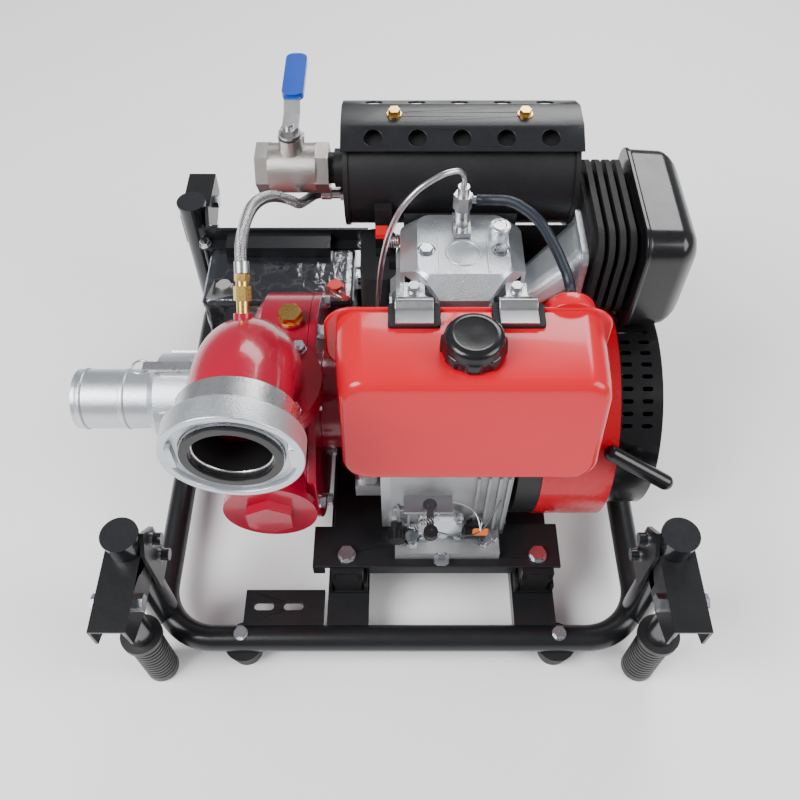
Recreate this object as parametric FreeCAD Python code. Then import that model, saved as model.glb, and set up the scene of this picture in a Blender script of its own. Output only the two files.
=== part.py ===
import FreeCAD, Part
import math
import os

from FreeCAD import Vector

# Portable diesel fire pump on a tubular carrying frame. Millimetres.
# +X points from the pump (suction side) to the recoil starter, +Y to the rear, +Z up.
# The dimensions below are measured from the middle of the base frame, on the floor. The
# suction side reaches further out, so the finished parts are shifted along X until the
# origin is under the middle of the whole machine.

# ---------------------------------------------------------------- driving dimensions
TUBE_R = 16.0            # base frame tube, outer radius
TUBE_WALL = 2.0
FRAME_X = 300.0          # side tube centre lines at x = -FRAME_X and +FRAME_X
FRAME_Y = 297.5          # front and rear tube centre lines
FRAME_Z = 45.0           # height of the base frame centre plane
CORNER_R = 70.0          # bend radius of the base frame corners
POST_X = 298.0           # corner post centres
POST_Y = 262.0
POST_R = 19.0
POST_TOP = 254.0
PIVOT_Y = 318.0          # carrying handle pivots
PIVOT_Z = 209.5
HANDLE_R = 16.0
CHANNEL_HALF = 20.0      # half the outside width of the handle bracket
CHANNEL_PLATE = 3.0
CHANNEL_TOP = 229.0
GRIP_BOTTOM = 3.0
GRIP_TOP = 116.0
FOOT_X = 195.0           # rubber feet under the front and rear tubes
PLATE_TOP = 120.0        # top of the engine base plate
PLATE_T = 5.0
RAIL_X = (-65.0, 168.0)  # cradle rails that carry the isolators
RAIL_TOP = 55.0
ISOLATOR_FRONT = -221.0
ISOLATOR_REAR = 246.0
CRANK_Y = -50.0          # crankshaft and pump axis, along X
CRANK_Z = 210.0
CYL_X = 62.0             # cylinder axis, vertical over the crankshaft
BORE_R = 35.0
STROKE = 55.0
ROD_LENGTH = 95.0
GEAR_MODULE = 2.5
CRANK_TEETH = 20
CAM_TEETH = 40
PUMP_X = -138.0          # middle plane of the pump volute
NECK_X = -146.0          # vertical discharge neck
NECK_Y = -147.0
NECK_TOP = 365.0
ELBOW_R = 48.0           # discharge elbow, outer radius
ELBOW_BORE = 40.0
ELBOW_BEND = 65.0        # centre line radius
OUTLET_Z = 442.0         # height of the discharge coupling axis
MUFFLER_Y = 90.0
MUFFLER_Z = 455.0
MUFFLER_R = 60.0
MUFFLER_X = (-60.0, 189.0)
VALVE_X = -118.0         # exhaust ball valve centre
STUB_Z = 419.0           # hose stub on the end of the muffler
SHIELD_R = 71.0          # heat shield, outer radius at its folds
INJECTOR_X = 64.0
INJECTOR_Y = -2.0
FEED_PUMP = (-38.0, -160.0)  # injection pump, left of the crankcase
LIFTER_Y = 2.0           # decompression shaft
CAP_X = 70.0             # fuel cap
CAP_Y = -158.0
STRAP_X = (14.0, 117.0)  # tank straps
STRAP_Z = 440.0
STRAP_BOLT_Y = -82.0
SHANK_END = 400.0        # open end of the suction shank
LOWER_ARM_OPEN = 30.0    # degrees that the lower cam arm hangs open
VALVES = (-17.0, 17.0)   # valves, either side of the cylinder axis
TANK_REAR = -105.0       # seam plane of the fuel tank
TANK_FRONT = -226.0
FAN_R = 142.0            # fan shroud, outer radius
MIDDLE_X = -36.0         # middle of the whole machine, seen from the frame's middle
VOLUTE_ARCS = 8          # arcs that make up the spiral outline of the pump
FIT = 0.05               # radial running clearance of pins in their holes
GAP = 0.25               # clearance round fixed fasteners

X = Vector(1, 0, 0)
Y = Vector(0, 1, 0)
Z = Vector(0, 0, 1)

os.makedirs("parts", exist_ok=True)


# ---------------------------------------------------------------- helpers
NODES = {}


def save(name, *shapes):
    """Add every solid of the given shapes to one node."""
    for shape in shapes:
        NODES.setdefault(name, []).extend(shape.Solids)


def write_nodes():
    """Write one STEP file per node, shifted so that the origin is under the machine."""
    for name, solids in NODES.items():
        placed = moved(Part.makeCompound(solids), -MIDDLE_X, 0, 0)
        placed.exportStep("parts/" + name + ".step")


def box(x0, x1, y0, y1, z0, z1):
    return Part.makeBox(x1 - x0, y1 - y0, z1 - z0, Vector(x0, y0, z0))


def rod(start, axis, radius, length):
    return Part.makeCylinder(radius, length, Vector(*start), Vector(axis))


def ring(start, axis, outer, inner, length):
    return rod(start, axis, outer, length).cut(rod(start, axis, inner, length))


def cone(start, axis, r_start, r_end, length):
    return Part.makeCone(r_start, r_end, length, Vector(*start), Vector(axis))


def join(*shapes):
    body = shapes[0]
    for other in shapes[1:]:
        body = body.fuse(other)
    return body.removeSplitter()


def cut(body, *tools):
    for tool in tools:
        body = body.cut(tool)
    return body


def mirrored_y(shape):
    return shape.mirror(Vector(0, 0, 0), Y)


def mirrored_x(shape):
    return shape.mirror(Vector(0, 0, 0), X)


def turned(shape, centre, axis, degrees):
    copy = shape.copy()
    copy.rotate(Vector(*centre), Vector(axis), degrees)
    return copy


def moved(shape, x, y, z):
    copy = shape.copy()
    copy.translate(Vector(x, y, z))
    return copy


def polygon_prism(points, direction):
    """Extrude the closed polygon through the points along a direction."""
    corners = [Vector(*point) for point in points]
    face = Part.Face(Part.makePolygon(corners + corners[:1]))
    return face.extrude(Vector(*direction))


def hexagon(start, axis, flats, length, spin=0.0):
    """Hexagonal prism, measured across its flats."""
    corners = []
    for side in range(6):
        angle = math.radians(60 * side + spin)
        radius = flats / math.sqrt(3)
        corners.append(Vector(radius * math.cos(angle), radius * math.sin(angle), 0))
    prism = Part.Face(Part.makePolygon(corners + corners[:1])).extrude(Vector(0, 0, length))
    prism.Placement = FreeCAD.Placement(
        Vector(*start), FreeCAD.Rotation(Z, Vector(axis))
    )
    return prism


def rounded_wire(a0, a1, b0, b1, radius, place):
    """Rounded rectangle; place(a, b) gives the point in space."""
    k = radius * (1 - math.sqrt(0.5))

    def arc(p, q, r):
        return Part.Arc(place(*p), place(*q), place(*r)).toShape()

    def line(p, q):
        return Part.LineSegment(place(*p), place(*q)).toShape()

    edges = [
        line((a0 + radius, b0), (a1 - radius, b0)),
        arc((a1 - radius, b0), (a1 - k, b0 + k), (a1, b0 + radius)),
        line((a1, b0 + radius), (a1, b1 - radius)),
        arc((a1, b1 - radius), (a1 - k, b1 - k), (a1 - radius, b1)),
        line((a1 - radius, b1), (a0 + radius, b1)),
        arc((a0 + radius, b1), (a0 + k, b1 - k), (a0, b1 - radius)),
        line((a0, b1 - radius), (a0, b0 + radius)),
        arc((a0, b0 + radius), (a0 + k, b0 + k), (a0 + radius, b0)),
    ]
    return Part.Wire(edges)


def rounded_x(x0, x1, y0, y1, z0, z1, radius):
    """Block with its four edges along X rounded."""
    wire = rounded_wire(y0, y1, z0, z1, radius, lambda a, b: Vector(x0, a, b))
    return Part.Face(wire).extrude(Vector(x1 - x0, 0, 0))


def rounded_y(x0, x1, y0, y1, z0, z1, radius):
    """Block with its four edges along Y rounded."""
    wire = rounded_wire(x0, x1, z0, z1, radius, lambda a, b: Vector(a, y0, b))
    return Part.Face(wire).extrude(Vector(0, y1 - y0, 0))


def rounded_z(x0, x1, y0, y1, z0, z1, radius):
    """Block with its four edges along Z rounded."""
    wire = rounded_wire(x0, x1, y0, y1, radius, lambda a, b: Vector(a, b, z0))
    return Part.Face(wire).extrude(Vector(0, 0, z1 - z0))


def slot_z(x, y, z0, z1, length, width):
    """Slot along X with round ends, cut through along Z."""
    half = (length - width) / 2
    return join(
        box(x - half, x + half, y - width / 2, y + width / 2, z0, z1),
        rod((x - half, y, z0), Z, width / 2, z1 - z0),
        rod((x + half, y, z0), Z, width / 2, z1 - z0),
    )


def bolt(seat, axis, shank_r, shank, head=None, washer=True):
    """Hex bolt or nut standing on its seat; the shank runs back against the axis."""
    axis = Vector(axis)
    axis.normalize()
    seat = Vector(*seat)
    head = head if head else shank_r * 1.4
    flats = shank_r * 3.4
    shape = hexagon(seat + axis * 1.5, axis, flats, head)
    shape = shape.fuse(rod(seat, axis, shank_r * 2.2, 1.6)) if washer else shape.fuse(
        hexagon(seat, axis, flats, 1.6)
    )
    shape = shape.fuse(rod(seat - axis * shank, axis, shank_r, shank + 1.0))
    return shape.removeSplitter()


def hole(seat, axis, shank_r, depth):
    """Clearance hole for a bolt, from just above its seat down to depth."""
    axis = Vector(axis)
    axis.normalize()
    seat = Vector(*seat)
    return rod(seat - axis * depth, axis, shank_r + GAP, depth + 1.0)


def route_wire(points):
    """Straight runs joined by tangent arcs; the arcs are as large as the runs allow."""
    points = [Vector(*point) for point in points]
    edges = []
    start = points[0]
    radii = []
    for before, corner, after in zip(points, points[1:], points[2:]):
        way_in = corner - before
        way_out = after - corner
        turn = way_in.getAngle(way_out)
        run = min(way_in.Length, way_out.Length)
        trim = 0.45 * run
        radii.append(trim / math.tan(turn / 2))
        way_in.normalize()
        way_out.normalize()
        p = corner - way_in * trim
        q = corner + way_out * trim
        inward = way_out - way_in
        inward.normalize()
        reach = radii[-1] / math.cos(turn / 2)
        middle = corner + inward * (reach - radii[-1])
        edges.append(Part.LineSegment(start, p).toShape())
        edges.append(Part.Arc(p, middle, q).toShape())
        start = q
    edges.append(Part.LineSegment(start, points[-1]).toShape())
    return Part.Wire(edges), radii


def route_tube(name, points, radius):
    """Round cord along its route; the volume is compared with section times length."""
    wire, radii = route_wire(points)
    direction = Vector(*points[1]) - Vector(*points[0])
    circle = Part.Wire(Part.makeCircle(radius, Vector(*points[0]), direction))
    tube = wire.makePipeShell([circle], True, False)
    expected = math.pi * radius**2 * wire.Length
    print(name, "length", round(wire.Length, 1), "radii", [round(r) for r in radii],
          "volume ratio", round(tube.Volume / expected, 4))
    return tube


def spur_gear(x0, x1, y, z, teeth, phase):
    """Spur gear about an axis along X, with straight-sided teeth and some backlash."""
    pitch = GEAR_MODULE * teeth / 2
    tip = pitch + 0.9 * GEAR_MODULE
    root = pitch - 1.2 * GEAR_MODULE
    step = 2 * math.pi / teeth
    corners = []
    for tooth in range(teeth):
        middle = phase + tooth * step
        for radius, share in ((root, -0.33), (tip, -0.11), (tip, 0.11), (root, 0.33)):
            angle = middle + share * step
            corners.append(Vector(x0, y + radius * math.cos(angle), z + radius * math.sin(angle)))
    face = Part.Face(Part.makePolygon(corners + corners[:1]))
    return face.extrude(Vector(x1 - x0, 0, 0))


# ---------------------------------------------------------------- carrying frame
def base_frame():
    straight_x = FRAME_X - CORNER_R
    straight_y = FRAME_Y - CORNER_R
    inner = TUBE_R - TUBE_WALL
    long_tube = ring((-straight_x, -FRAME_Y, FRAME_Z), X, TUBE_R, inner, 2 * straight_x)
    side_tube = ring((FRAME_X, -straight_y, FRAME_Z), Y, TUBE_R, inner, 2 * straight_y)
    bend = Part.makeTorus(CORNER_R, TUBE_R).cut(Part.makeTorus(CORNER_R, inner))
    bend = bend.common(box(0, 2 * CORNER_R, 0, 2 * CORNER_R, -TUBE_R - 1, TUBE_R + 1))
    bend = moved(bend, straight_x, straight_y, FRAME_Z)
    outline = rod((-straight_x, -FRAME_Y, FRAME_Z), X, TUBE_R, 2 * straight_x)
    bolts = []
    for x in (-FOOT_X, FOOT_X):
        seat = (x, -FRAME_Y, FRAME_Z + TUBE_R - 0.6)
        long_tube = long_tube.cut(rod((x, -FRAME_Y, 0), Z, 4 + GAP, 100))
        long_tube = long_tube.cut(rod(seat, Z, 9.5, 10))
        bolts.append(bolt(seat, Z, 4, 52))
    bolts = bolts + [mirrored_y(shape) for shape in bolts]
    bends = [bend, mirrored_x(bend), mirrored_y(bend), mirrored_x(mirrored_y(bend))]
    save("base_frame_tubes", long_tube)
    save("base_frame_tubes", mirrored_y(long_tube))
    save("base_frame_tubes", side_tube, mirrored_x(side_tube))
    save("base_frame_tubes", *bends)
    save("fasteners", *bolts)
    feet = []
    for x in (-FOOT_X, FOOT_X):
        foot = cone((x, -FRAME_Y, 0), Z, 19, 25, 33)
        foot = cut(foot, outline, rod((x, -FRAME_Y, 7), Z, 4 + GAP, 40))
        feet.extend([foot, mirrored_y(foot)])
    save("rubber_feet", *feet)
    torus = moved(Part.makeTorus(CORNER_R, TUBE_R), straight_x, straight_y, FRAME_Z)
    return outline, torus


def corner_parts(front_outline, corner_torus):
    """Corner posts, caps, gussets and handle brackets; built at the +X, +Y corner."""
    side_outline = rod((FRAME_X, -300, FRAME_Z), Y, TUBE_R, 528)
    post = ring((POST_X, POST_Y, 48), Z, POST_R, POST_R - 2, POST_TOP - 48)
    post = cut(post, corner_torus, side_outline)
    post = max(post.Solids, key=lambda solid: solid.Volume)
    cap = rod((POST_X, POST_Y, POST_TOP), Z, POST_R + 1.5, 4)
    plug = rod((POST_X, POST_Y, POST_TOP - 8), Z, POST_R - 2 - GAP, 8)
    cap = join(cap, plug)
    # Handle bracket: an inverted channel from the post outwards.
    y0 = POST_Y + 2
    y1 = 358.0
    outer = box(FRAME_X - CHANNEL_HALF, FRAME_X + CHANNEL_HALF, y0, y1, 178, CHANNEL_TOP)
    inner_half = CHANNEL_HALF - CHANNEL_PLATE
    inner = box(FRAME_X - inner_half, FRAME_X + inner_half, y0 - 1, y1 + 1, 170,
                CHANNEL_TOP - CHANNEL_PLATE)
    slope = polygon_prism([(200, y1 + 1, 170), (200, y1 + 1, 196), (200, y0 + 30, 170)],
                          (200, 0, 0))
    bracket = cut(outer, inner, slope, rod((POST_X, POST_Y, 0), Z, POST_R, 300))
    bracket = bracket.cut(rod((200, PIVOT_Y, PIVOT_Z), X, 5 + GAP, 200))
    pivot = join(
        rod((FRAME_X - CHANNEL_HALF, PIVOT_Y, PIVOT_Z), X, 5, 2 * CHANNEL_HALF),
        hexagon((FRAME_X - CHANNEL_HALF - 7, PIVOT_Y, PIVOT_Z), X, 17, 7),
        hexagon((FRAME_X + CHANNEL_HALF, PIVOT_Y, PIVOT_Z), X, 17, 8),
    )
    # Gusset plate on the inner side of the post, held by two bolts.
    face = POST_X - POST_R
    gusset = polygon_prism(
        [(face - 5, POST_Y - 26, 150), (face - 5, POST_Y + 14, 150), (face - 5, POST_Y + 14, 232),
         (face - 5, POST_Y - 4, 252), (face - 5, POST_Y - 26, 226)], (5, 0, 0))
    spacer = box(face, POST_X - 6, POST_Y - 8, POST_Y + 8, 156, 232)
    gusset = cut(join(gusset, spacer), rod((POST_X, POST_Y, 0), Z, POST_R, 300), outer)
    gusset = max(gusset.Solids, key=lambda solid: solid.Volume)
    studs = []
    for z in (178, 218):
        seat = (face - 5, POST_Y - 15, z)
        gusset = gusset.cut(hole(seat, -X, 4, 20))
        studs.append(join(rod((face - 6.6, POST_Y - 15, z), X, 9, 1.6),
                          rod((face - 15, POST_Y - 15, z), X, 7, 8.6),
                          rod((face - 6, POST_Y - 15, z), X, 4, 7)))
    groups = {
        "corner_posts": [post, cap],
        "handle_brackets": [bracket, gusset],
        "fasteners": [pivot] + studs,
    }
    for name, shapes in groups.items():
        row = shapes + [mirrored_x(s) for s in shapes]
        save(name, *(row + [mirrored_y(s) for s in row]))


def handles():
    """Four folding handles that hang from their pivots; built at the +X, +Y corner."""
    arm = rod((FRAME_X, PIVOT_Y, GRIP_BOTTOM + 4), Z, HANDLE_R, PIVOT_Z - GRIP_BOTTOM - 4)
    eye = rod((FRAME_X - HANDLE_R, PIVOT_Y, PIVOT_Z), X, HANDLE_R - 0.5, 2 * HANDLE_R)
    arm = cut(join(arm, eye), rod((200, PIVOT_Y, PIVOT_Z), X, 5 + FIT, 200),
              rod((FRAME_X, PIVOT_Y, GRIP_BOTTOM + 4), Z, HANDLE_R - 2.5, 170))
    grip = rod((FRAME_X, PIVOT_Y, GRIP_BOTTOM), Z, 20, GRIP_TOP - GRIP_BOTTOM - 8)
    collar = rod((FRAME_X, PIVOT_Y, GRIP_TOP - 8), Z, 24, 8)
    grip = cut(join(grip, collar), rod((FRAME_X, PIVOT_Y, GRIP_BOTTOM + 4), Z, HANDLE_R, 200))
    for z in range(16, 100, 8):
        grip = grip.cut(ring((FRAME_X, PIVOT_Y, z), Z, 21, 18.8, 3))
    for side, flip_x in (("left", True), ("right", False)):
        for end, flip_y in (("front", True), ("rear", False)):
            for shape in (arm, grip):
                placed = mirrored_x(shape) if flip_x else shape
                placed = mirrored_y(placed) if flip_y else placed
                save("carrying_handle_" + end + "_" + side, placed)


def cradle():
    """Rails, rubber isolators, slotted plate and the engine base plate."""
    front_tube = rod((-300, -FRAME_Y, FRAME_Z), X, TUBE_R, 600)
    rear_tube = rod((-300, FRAME_Y, FRAME_Z), X, TUBE_R, 600)
    rails = []
    brackets = []
    rubbers = []
    bolts = []
    for x in RAIL_X:
        rail = join(box(x - 26, x + 26, -FRAME_Y, FRAME_Y, RAIL_TOP - 5, RAIL_TOP),
                    box(x - 26, x - 22, -FRAME_Y, FRAME_Y, RAIL_TOP - 24, RAIL_TOP - 5))
        rail = cut(rail, front_tube, rear_tube)
        for y in (ISOLATOR_FRONT, ISOLATOR_REAR):
            low = box(x - 24, x + 24, y - 22, y + 22, RAIL_TOP, RAIL_TOP + 4)
            wall = box(x - 24, x - 20, y - 22, y + 22, RAIL_TOP, RAIL_TOP + 22)
            low = join(low, wall, moved(wall, 44, 0, 0))
            top_z = PLATE_TOP - PLATE_T
            high = box(x - 19, x + 19, y - 22, y + 22, top_z - 4, top_z)
            lip = box(x - 19, x - 15, y - 22, y + 22, top_z - 20, top_z)
            high = join(high, lip, moved(lip, 34, 0, 0))
            rubber = cut(rounded_z(x - 19.5, x + 19.5, y - 20, y + 20, RAIL_TOP + 4, top_z - 4, 5),
                         high)
            stud = (x, y, PLATE_TOP)
            high = high.cut(hole(stud, Z, 5, 20))
            rubber = rubber.cut(rod((x, y, top_z - 25), Z, 5 + GAP, 30))
            bolts.append(bolt(stud, Z, 5, 24))
            brackets.extend([low, high])
            rubbers.append(rubber)
        rails.append(rail)
    save("cradle_rails", *rails)
    save("isolators", *brackets)
    save("isolators", *rubbers)
    save("fasteners", *bolts)
    shelf = box(-195, -95, -FRAME_Y, -238, RAIL_TOP - 5, RAIL_TOP).cut(front_tube)
    for x in (-171, -134):
        shelf = shelf.cut(slot_z(x, -260, 40, 60, 25, 10))
    save("cradle_rails", shelf)
    plate = box(-106, 195, -236, 270, PLATE_TOP - PLATE_T, PLATE_TOP)
    plate = join(plate, box(-106, 195, -236, -232, 100, PLATE_TOP))
    # Clearances for the pump, the battery, the fan shroud and the middle of the plate.
    plate = plate.cut(box(-110, -82, -182, 100, 90, 130))
    plate = plate.cut(box(-110, -40, 86, 222, 90, 130))
    plate = plate.cut(box(129, 200, -178, 78, 90, 130))
    plate = plate.cut(box(-10, 110, 96, 205, 90, 130))
    for x in RAIL_X:
        plate = plate.cut(box(x - 27, x + 27, -240, -230, 90, PLATE_TOP - PLATE_T))
        for y in (ISOLATOR_FRONT, ISOLATOR_REAR):
            plate = plate.cut(hole((x, y, PLATE_TOP), Z, 5, 20))
    for x, y in ENGINE_FEET:
        plate = plate.cut(hole((x, y, PLATE_TOP), Z, 5, 20))
    save("engine_base_plate", plate)


# ---------------------------------------------------------------- battery
def battery():
    tray = box(-268, -58, 88, 217, 62, 65)
    tray = join(tray, box(-268, -58, 88, 91, 62, 90), box(-268, -265, 88, 217, 62, 90))
    leg = box(-290, -266, 100, 190, 59, 65)
    side_outline = rod((-FRAME_X, -300, FRAME_Z), Y, TUBE_R, 600)
    rear_leg = box(-180, -140, 214, 297, 57, 62)
    rear_leg = rear_leg.cut(rod((-300, FRAME_Y, FRAME_Z), X, TUBE_R, 600))
    tray = cut(join(tray, leg, rear_leg), side_outline)
    case = rounded_z(-262, -64, 93, 212, 65, 222, 6)
    lid = rounded_z(-260, -66, 95, 210, 222, 232, 5)
    case = join(case, lid)
    case = cut(case, box(-252, -222, 106, 134, 224, 240), box(-102, -72, 106, 134, 224, 240))
    posts = [join(rod((x, 120, 224), Z, 9, 14), box(x - 11, x + 11, 116, 124, 228, 236))
             for x in (-237, -87)]
    bar = join(box(-280, -44, 190, 210, 232.2, 236), box(-280, -44, 206, 210, 236, 256))
    bar = join(bar, box(-240, -96, 176, 206, 232.2, 250))
    rods = []
    rod_y = 197.0
    for x in (-272.5, -52.0):
        bar = bar.cut(rod((x, rod_y, 220), Z, 4 + GAP, 40))
        tray = join(tray, box(x - 9, x + 9, 185, 209, 62, 65))
        tray = tray.cut(rod((x, rod_y, 50), Z, 4 + GAP, 30))
        rods.append(join(rod((x, rod_y, 57), Z, 4, 190), rod((x, rod_y, 236), Z, 8.5, 1.6),
                         hexagon((x, rod_y, 237.6), Z, 13, 6)))
    save("battery_tray", tray)
    save("battery", case)
    save("battery", *posts)
    save("battery_tray", bar)
    save("battery_tray", *rods)


ENGINE_FEET = [(14, -207), (103, -207), (14, 73), (103, 73)]
DRAIN_Z = 130.0
DIPSTICK_X = -4.0
DIPSTICK_Z = 155.0
FILLER_X = 89.0
FILLER_Z = 158.0


# ---------------------------------------------------------------- engine, fixed parts
def crankcase():
    case = rounded_y(-10, 127, -192, 62, 121, 290, 12)
    case = join(case, box(-6, 120, -226, -186, 120, 136), box(-10, 127, -192, 62, 120, 140))
    case = case.cut(box(-11, 115, -182, 52, 134, 282))
    case = cut(case, rod((114, CRANK_Y, CRANK_Z), X, 30 + GAP, 20))
    case = cut(case, rod((CYL_X, CRANK_Y, 270), Z, 44, 40))
    case = case.cut(rod((50, -230, DRAIN_Z), Y, 5 + GAP, 50))
    # Bosses on the front wall: oil cover, dipstick and filler seats, control plate pads.
    boss = rod((50.5, -200, 160), Y, 26, 10)
    dip = rod((DIPSTICK_X, -196, DIPSTICK_Z), Y, 10, 8)
    fill = rod((FILLER_X, -196, FILLER_Z), Y, 14, 6)
    case = join(case, boss, dip, fill)
    case = case.cut(rod((DIPSTICK_X, -220, DIPSTICK_Z), Y, 5 + FIT, 60))
    case = case.cut(rod((FILLER_X, -220, FILLER_Z), Y, 9 + FIT, 60))
    # Oil sump floor under the shaft, raised bearing wall for the camshaft.
    cam_wall = box(100, 115, -160, -90, 134, 260)
    cam_y = CRANK_Y - GEAR_MODULE * (CRANK_TEETH + CAM_TEETH) / 2
    case = join(case, cam_wall)
    case = case.cut(rod((99, cam_y, CRANK_Z), X, 9 + FIT, 12))
    case = join(case, box(-6, 120, 58, 86, 120, 136))
    for x, y in ENGINE_FEET:
        case = case.cut(rod((x, y, 110), Z, 4.5 + GAP, 30))
    nuts = [bolt((x, y, 136), Z, 4.5, 26) for x, y in ENGINE_FEET]
    save("crankcase", max(case.Solids, key=lambda solid: solid.Volume))
    save("fasteners", *nuts)
    cover = rounded_x(-22, -10, -188, 58, 124, 286, 10)
    cover = join(cover, rod((-30, CRANK_Y, CRANK_Z), X, 49.5, 10))
    cover = cut(cover, rod((-31, CRANK_Y, CRANK_Z), X, 30 + GAP, 22))
    cover = cover.cut(rod((-14, cam_y, CRANK_Z), X, 9 + FIT, 10))
    save("crankcase_covers", cover)
    bearings = [ring((x, CRANK_Y, CRANK_Z), X, 30, 17.5 + FIT, 12) for x in (-24, 115.5)]
    save("bearings_and_seals", *bearings)
    plug = join(hexagon((50, -236, DRAIN_Z), Y, 16, 8), rod((50, -229, DRAIN_Z), Y, 9.5, 3),
                rod((50, -228, DRAIN_Z), Y, 5, 27))
    save("fasteners", plug)


def cylinder_and_head():
    liner = ring((CYL_X, CRANK_Y, 262), Z, 43.5, BORE_R, 108)
    barrel = ring((CYL_X, CRANK_Y, 290), Z, 48, 43, 80)
    for z in range(298, 366, 8):
        fin = rounded_z(CYL_X - 60, CYL_X + 60, CRANK_Y - 47, CRANK_Y + 54, z, z + 3, 12)
        barrel = barrel.fuse(fin.cut(rod((CYL_X, CRANK_Y, z - 1), Z, 43, 6)))
    flange = rounded_z(CYL_X - 58, CYL_X + 58, CRANK_Y - 47, CRANK_Y + 54, 290, 294, 12)
    barrel = barrel.fuse(flange.cut(rod((CYL_X, CRANK_Y, 280), Z, 43, 20)))
    save("cylinder_and_guides", join(liner, barrel))
    # Sheet guides that lead the cooling air past the left and the rear of the cylinder.
    guide = rounded_z(-44, -4.3, -24, 56, 290.4, 396, 14)
    guide = guide.cut(rounded_z(-42.5, 10, -22.5, 54.5, 289, 394.5, 12.5))
    save("cylinder_and_guides", guide)
    rear = join(box(4, 126, 25, 26.8, 290.4, 445), box(4, 126, 25, 45, 290.4, 292.2),
                box(124, 126, 25, 41.8, 325, 415), box(124, 188, 40, 41.8, 325, 415))
    save("cylinder_and_guides", rear.cut(rod((CYL_X - 15, 20, 396), Y, 14.6, 10)))
    head = rounded_z(CYL_X - 66, CYL_X + 68, CRANK_Y - 47, CRANK_Y + 60, 370.5, 416, 14)
    for z in (376, 384, 392):
        for side in (-1, 1):
            groove = box(CYL_X + side * 72 - 16, CYL_X + side * 72 + 16,
                         CRANK_Y - 30, CRANK_Y + 40, z, z + 4.5)
            head = head.cut(groove)
    # Exhaust and intake ports behind and beside the head, valve guides inside.
    head = join(head, box(CYL_X - 34, CYL_X + 4, CRANK_Y + 50, CRANK_Y + 62, 380, 412))
    for dx in VALVES:
        head = head.cut(rod((CYL_X + dx, CRANK_Y, 366), Z, 3 + FIT, 60))
        head = head.cut(cone((CYL_X + dx, CRANK_Y, 368), Z, 15, 12.5, 7))
    head = head.cut(rod((INJECTOR_X, INJECTOR_Y, 360), Z, 8 + GAP, 70))
    # Columns for the tank strap bolts at the front corners of the head.
    for x in STRAP_X:
        head = head.fuse(rod((x, STRAP_BOLT_Y, 410), Z, 9.5, STRAP_Z - 410))
        head = head.cut(rod((x, STRAP_BOLT_Y, STRAP_Z - 22), Z, 3 + GAP, 30))
    save("cylinder_head", head)
    left, right = CYL_X - 62, CYL_X + 68
    front, rear = CRANK_Y - 42, CRANK_Y + 72
    cover = rounded_z(left, right, front, rear, 416.5, 436, 16)
    top = Part.makeLoft([
        rounded_wire(left, right, front, rear, 16, lambda a, b: Vector(a, b, 436)),
        rounded_wire(left + 18, right - 18, front + 18, rear - 10, 14,
                     lambda a, b: Vector(a, b, 456)),
    ], True, True)
    cover = join(cover, top)
    cover = cover.cut(rounded_z(left + 5, right - 5, front + 5, INJECTOR_Y - 13, 410, 436, 12))
    cover = cover.cut(rounded_z(left + 24, right - 24, front + 24, INJECTOR_Y - 13, 435, 450, 10))
    cover = cover.cut(rod((INJECTOR_X, INJECTOR_Y, 400), Z, 8 + GAP, 70))
    # The front corners are cut off, clear of the columns for the tank straps.
    for corner, side in ((left, 1), (right, -1)):
        cover = cover.cut(polygon_prism(
            [(corner - side, front - 1, 410), (corner + side * 41, front - 1, 410),
             (corner - side, front + 41, 410)], (0, 0, 60)))
    cover = max(cover.Solids, key=lambda solid: solid.Volume)
    cover = cover.cut(rod((left - 28, LIFTER_Y, 428), X, 4 + FIT, 40))
    bolts = []
    for x in (left + 27, right - 27):
        seat = (x, CRANK_Y + 10, 453)
        pad = rod((x, CRANK_Y + 10, 440), Z, 9, 13)
        column = rod((x, CRANK_Y + 10, 416.5), Z, 8, 24)
        cover = cover.fuse(pad).fuse(column)
        cover = cut(cover, rod((x, CRANK_Y + 10, 453), Z, 9.5, 20), hole(seat, Z, 3.5, 40))
        bolts.append(bolt(seat, Z, 3.5, 36))
    save("rocker_cover", cover.removeSplitter())
    save("fasteners", *bolts)
    breather = join(rod((CYL_X + 41, CRANK_Y + 34, 450), Z, 9, 12),
                    rod((CYL_X + 41, CRANK_Y + 34, 462), Z, 11, 5))
    save("rocker_cover", breather.cut(top))
    piston_top = CRANK_Z + STROKE / 2 + ROD_LENGTH + 30
    piston = rod((CYL_X, CRANK_Y, piston_top - 56), Z, BORE_R - 0.1, 56)
    piston = piston.cut(rod((CYL_X, CRANK_Y, piston_top - 57), Z, BORE_R - 5, 42))
    pin_z = CRANK_Z + STROKE / 2 + ROD_LENGTH
    for side in (-1, 1):
        piston = piston.fuse(rod((CYL_X + side * 22 - 6, CRANK_Y, pin_z), X, 12, 12))
    piston = piston.removeSplitter().cut(rod((0, CRANK_Y, pin_z), X, 9 + FIT, 130))
    for dz in (6, 11, 16):
        piston = piston.cut(ring((CYL_X, CRANK_Y, piston_top - dz), Z, 40, BORE_R - 3, 2))
    save("piston", piston)
    save("piston", rod((CYL_X - 28, CRANK_Y, pin_z), X, 9, 56))
    crankpin_z = CRANK_Z + STROKE / 2
    rod_body = join(
        ring((CYL_X - 6, CRANK_Y, crankpin_z), X, 25, 15 + FIT, 12),
        ring((CYL_X - 6, CRANK_Y, pin_z), X, 15, 9 + FIT, 12),
        box(CYL_X - 4, CYL_X + 4, CRANK_Y - 9, CRANK_Y + 9, crankpin_z + 20, pin_z - 12),
    )
    save("connecting_rod", rod_body)
    save("connecting_rod", rod((CYL_X - 7.5, CRANK_Y, crankpin_z), X, 15, 15))
    stems = []
    for dx in VALVES:
        stem = rod((CYL_X + dx, CRANK_Y, 368.6), Z, 3, 60)
        stems.append(join(stem, rod((CYL_X + dx, CRANK_Y, 366.2), Z, 13.5, 2.4),
                          cone((CYL_X + dx, CRANK_Y, 368.5), Z, 13.5, 6, 3.5)))
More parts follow.
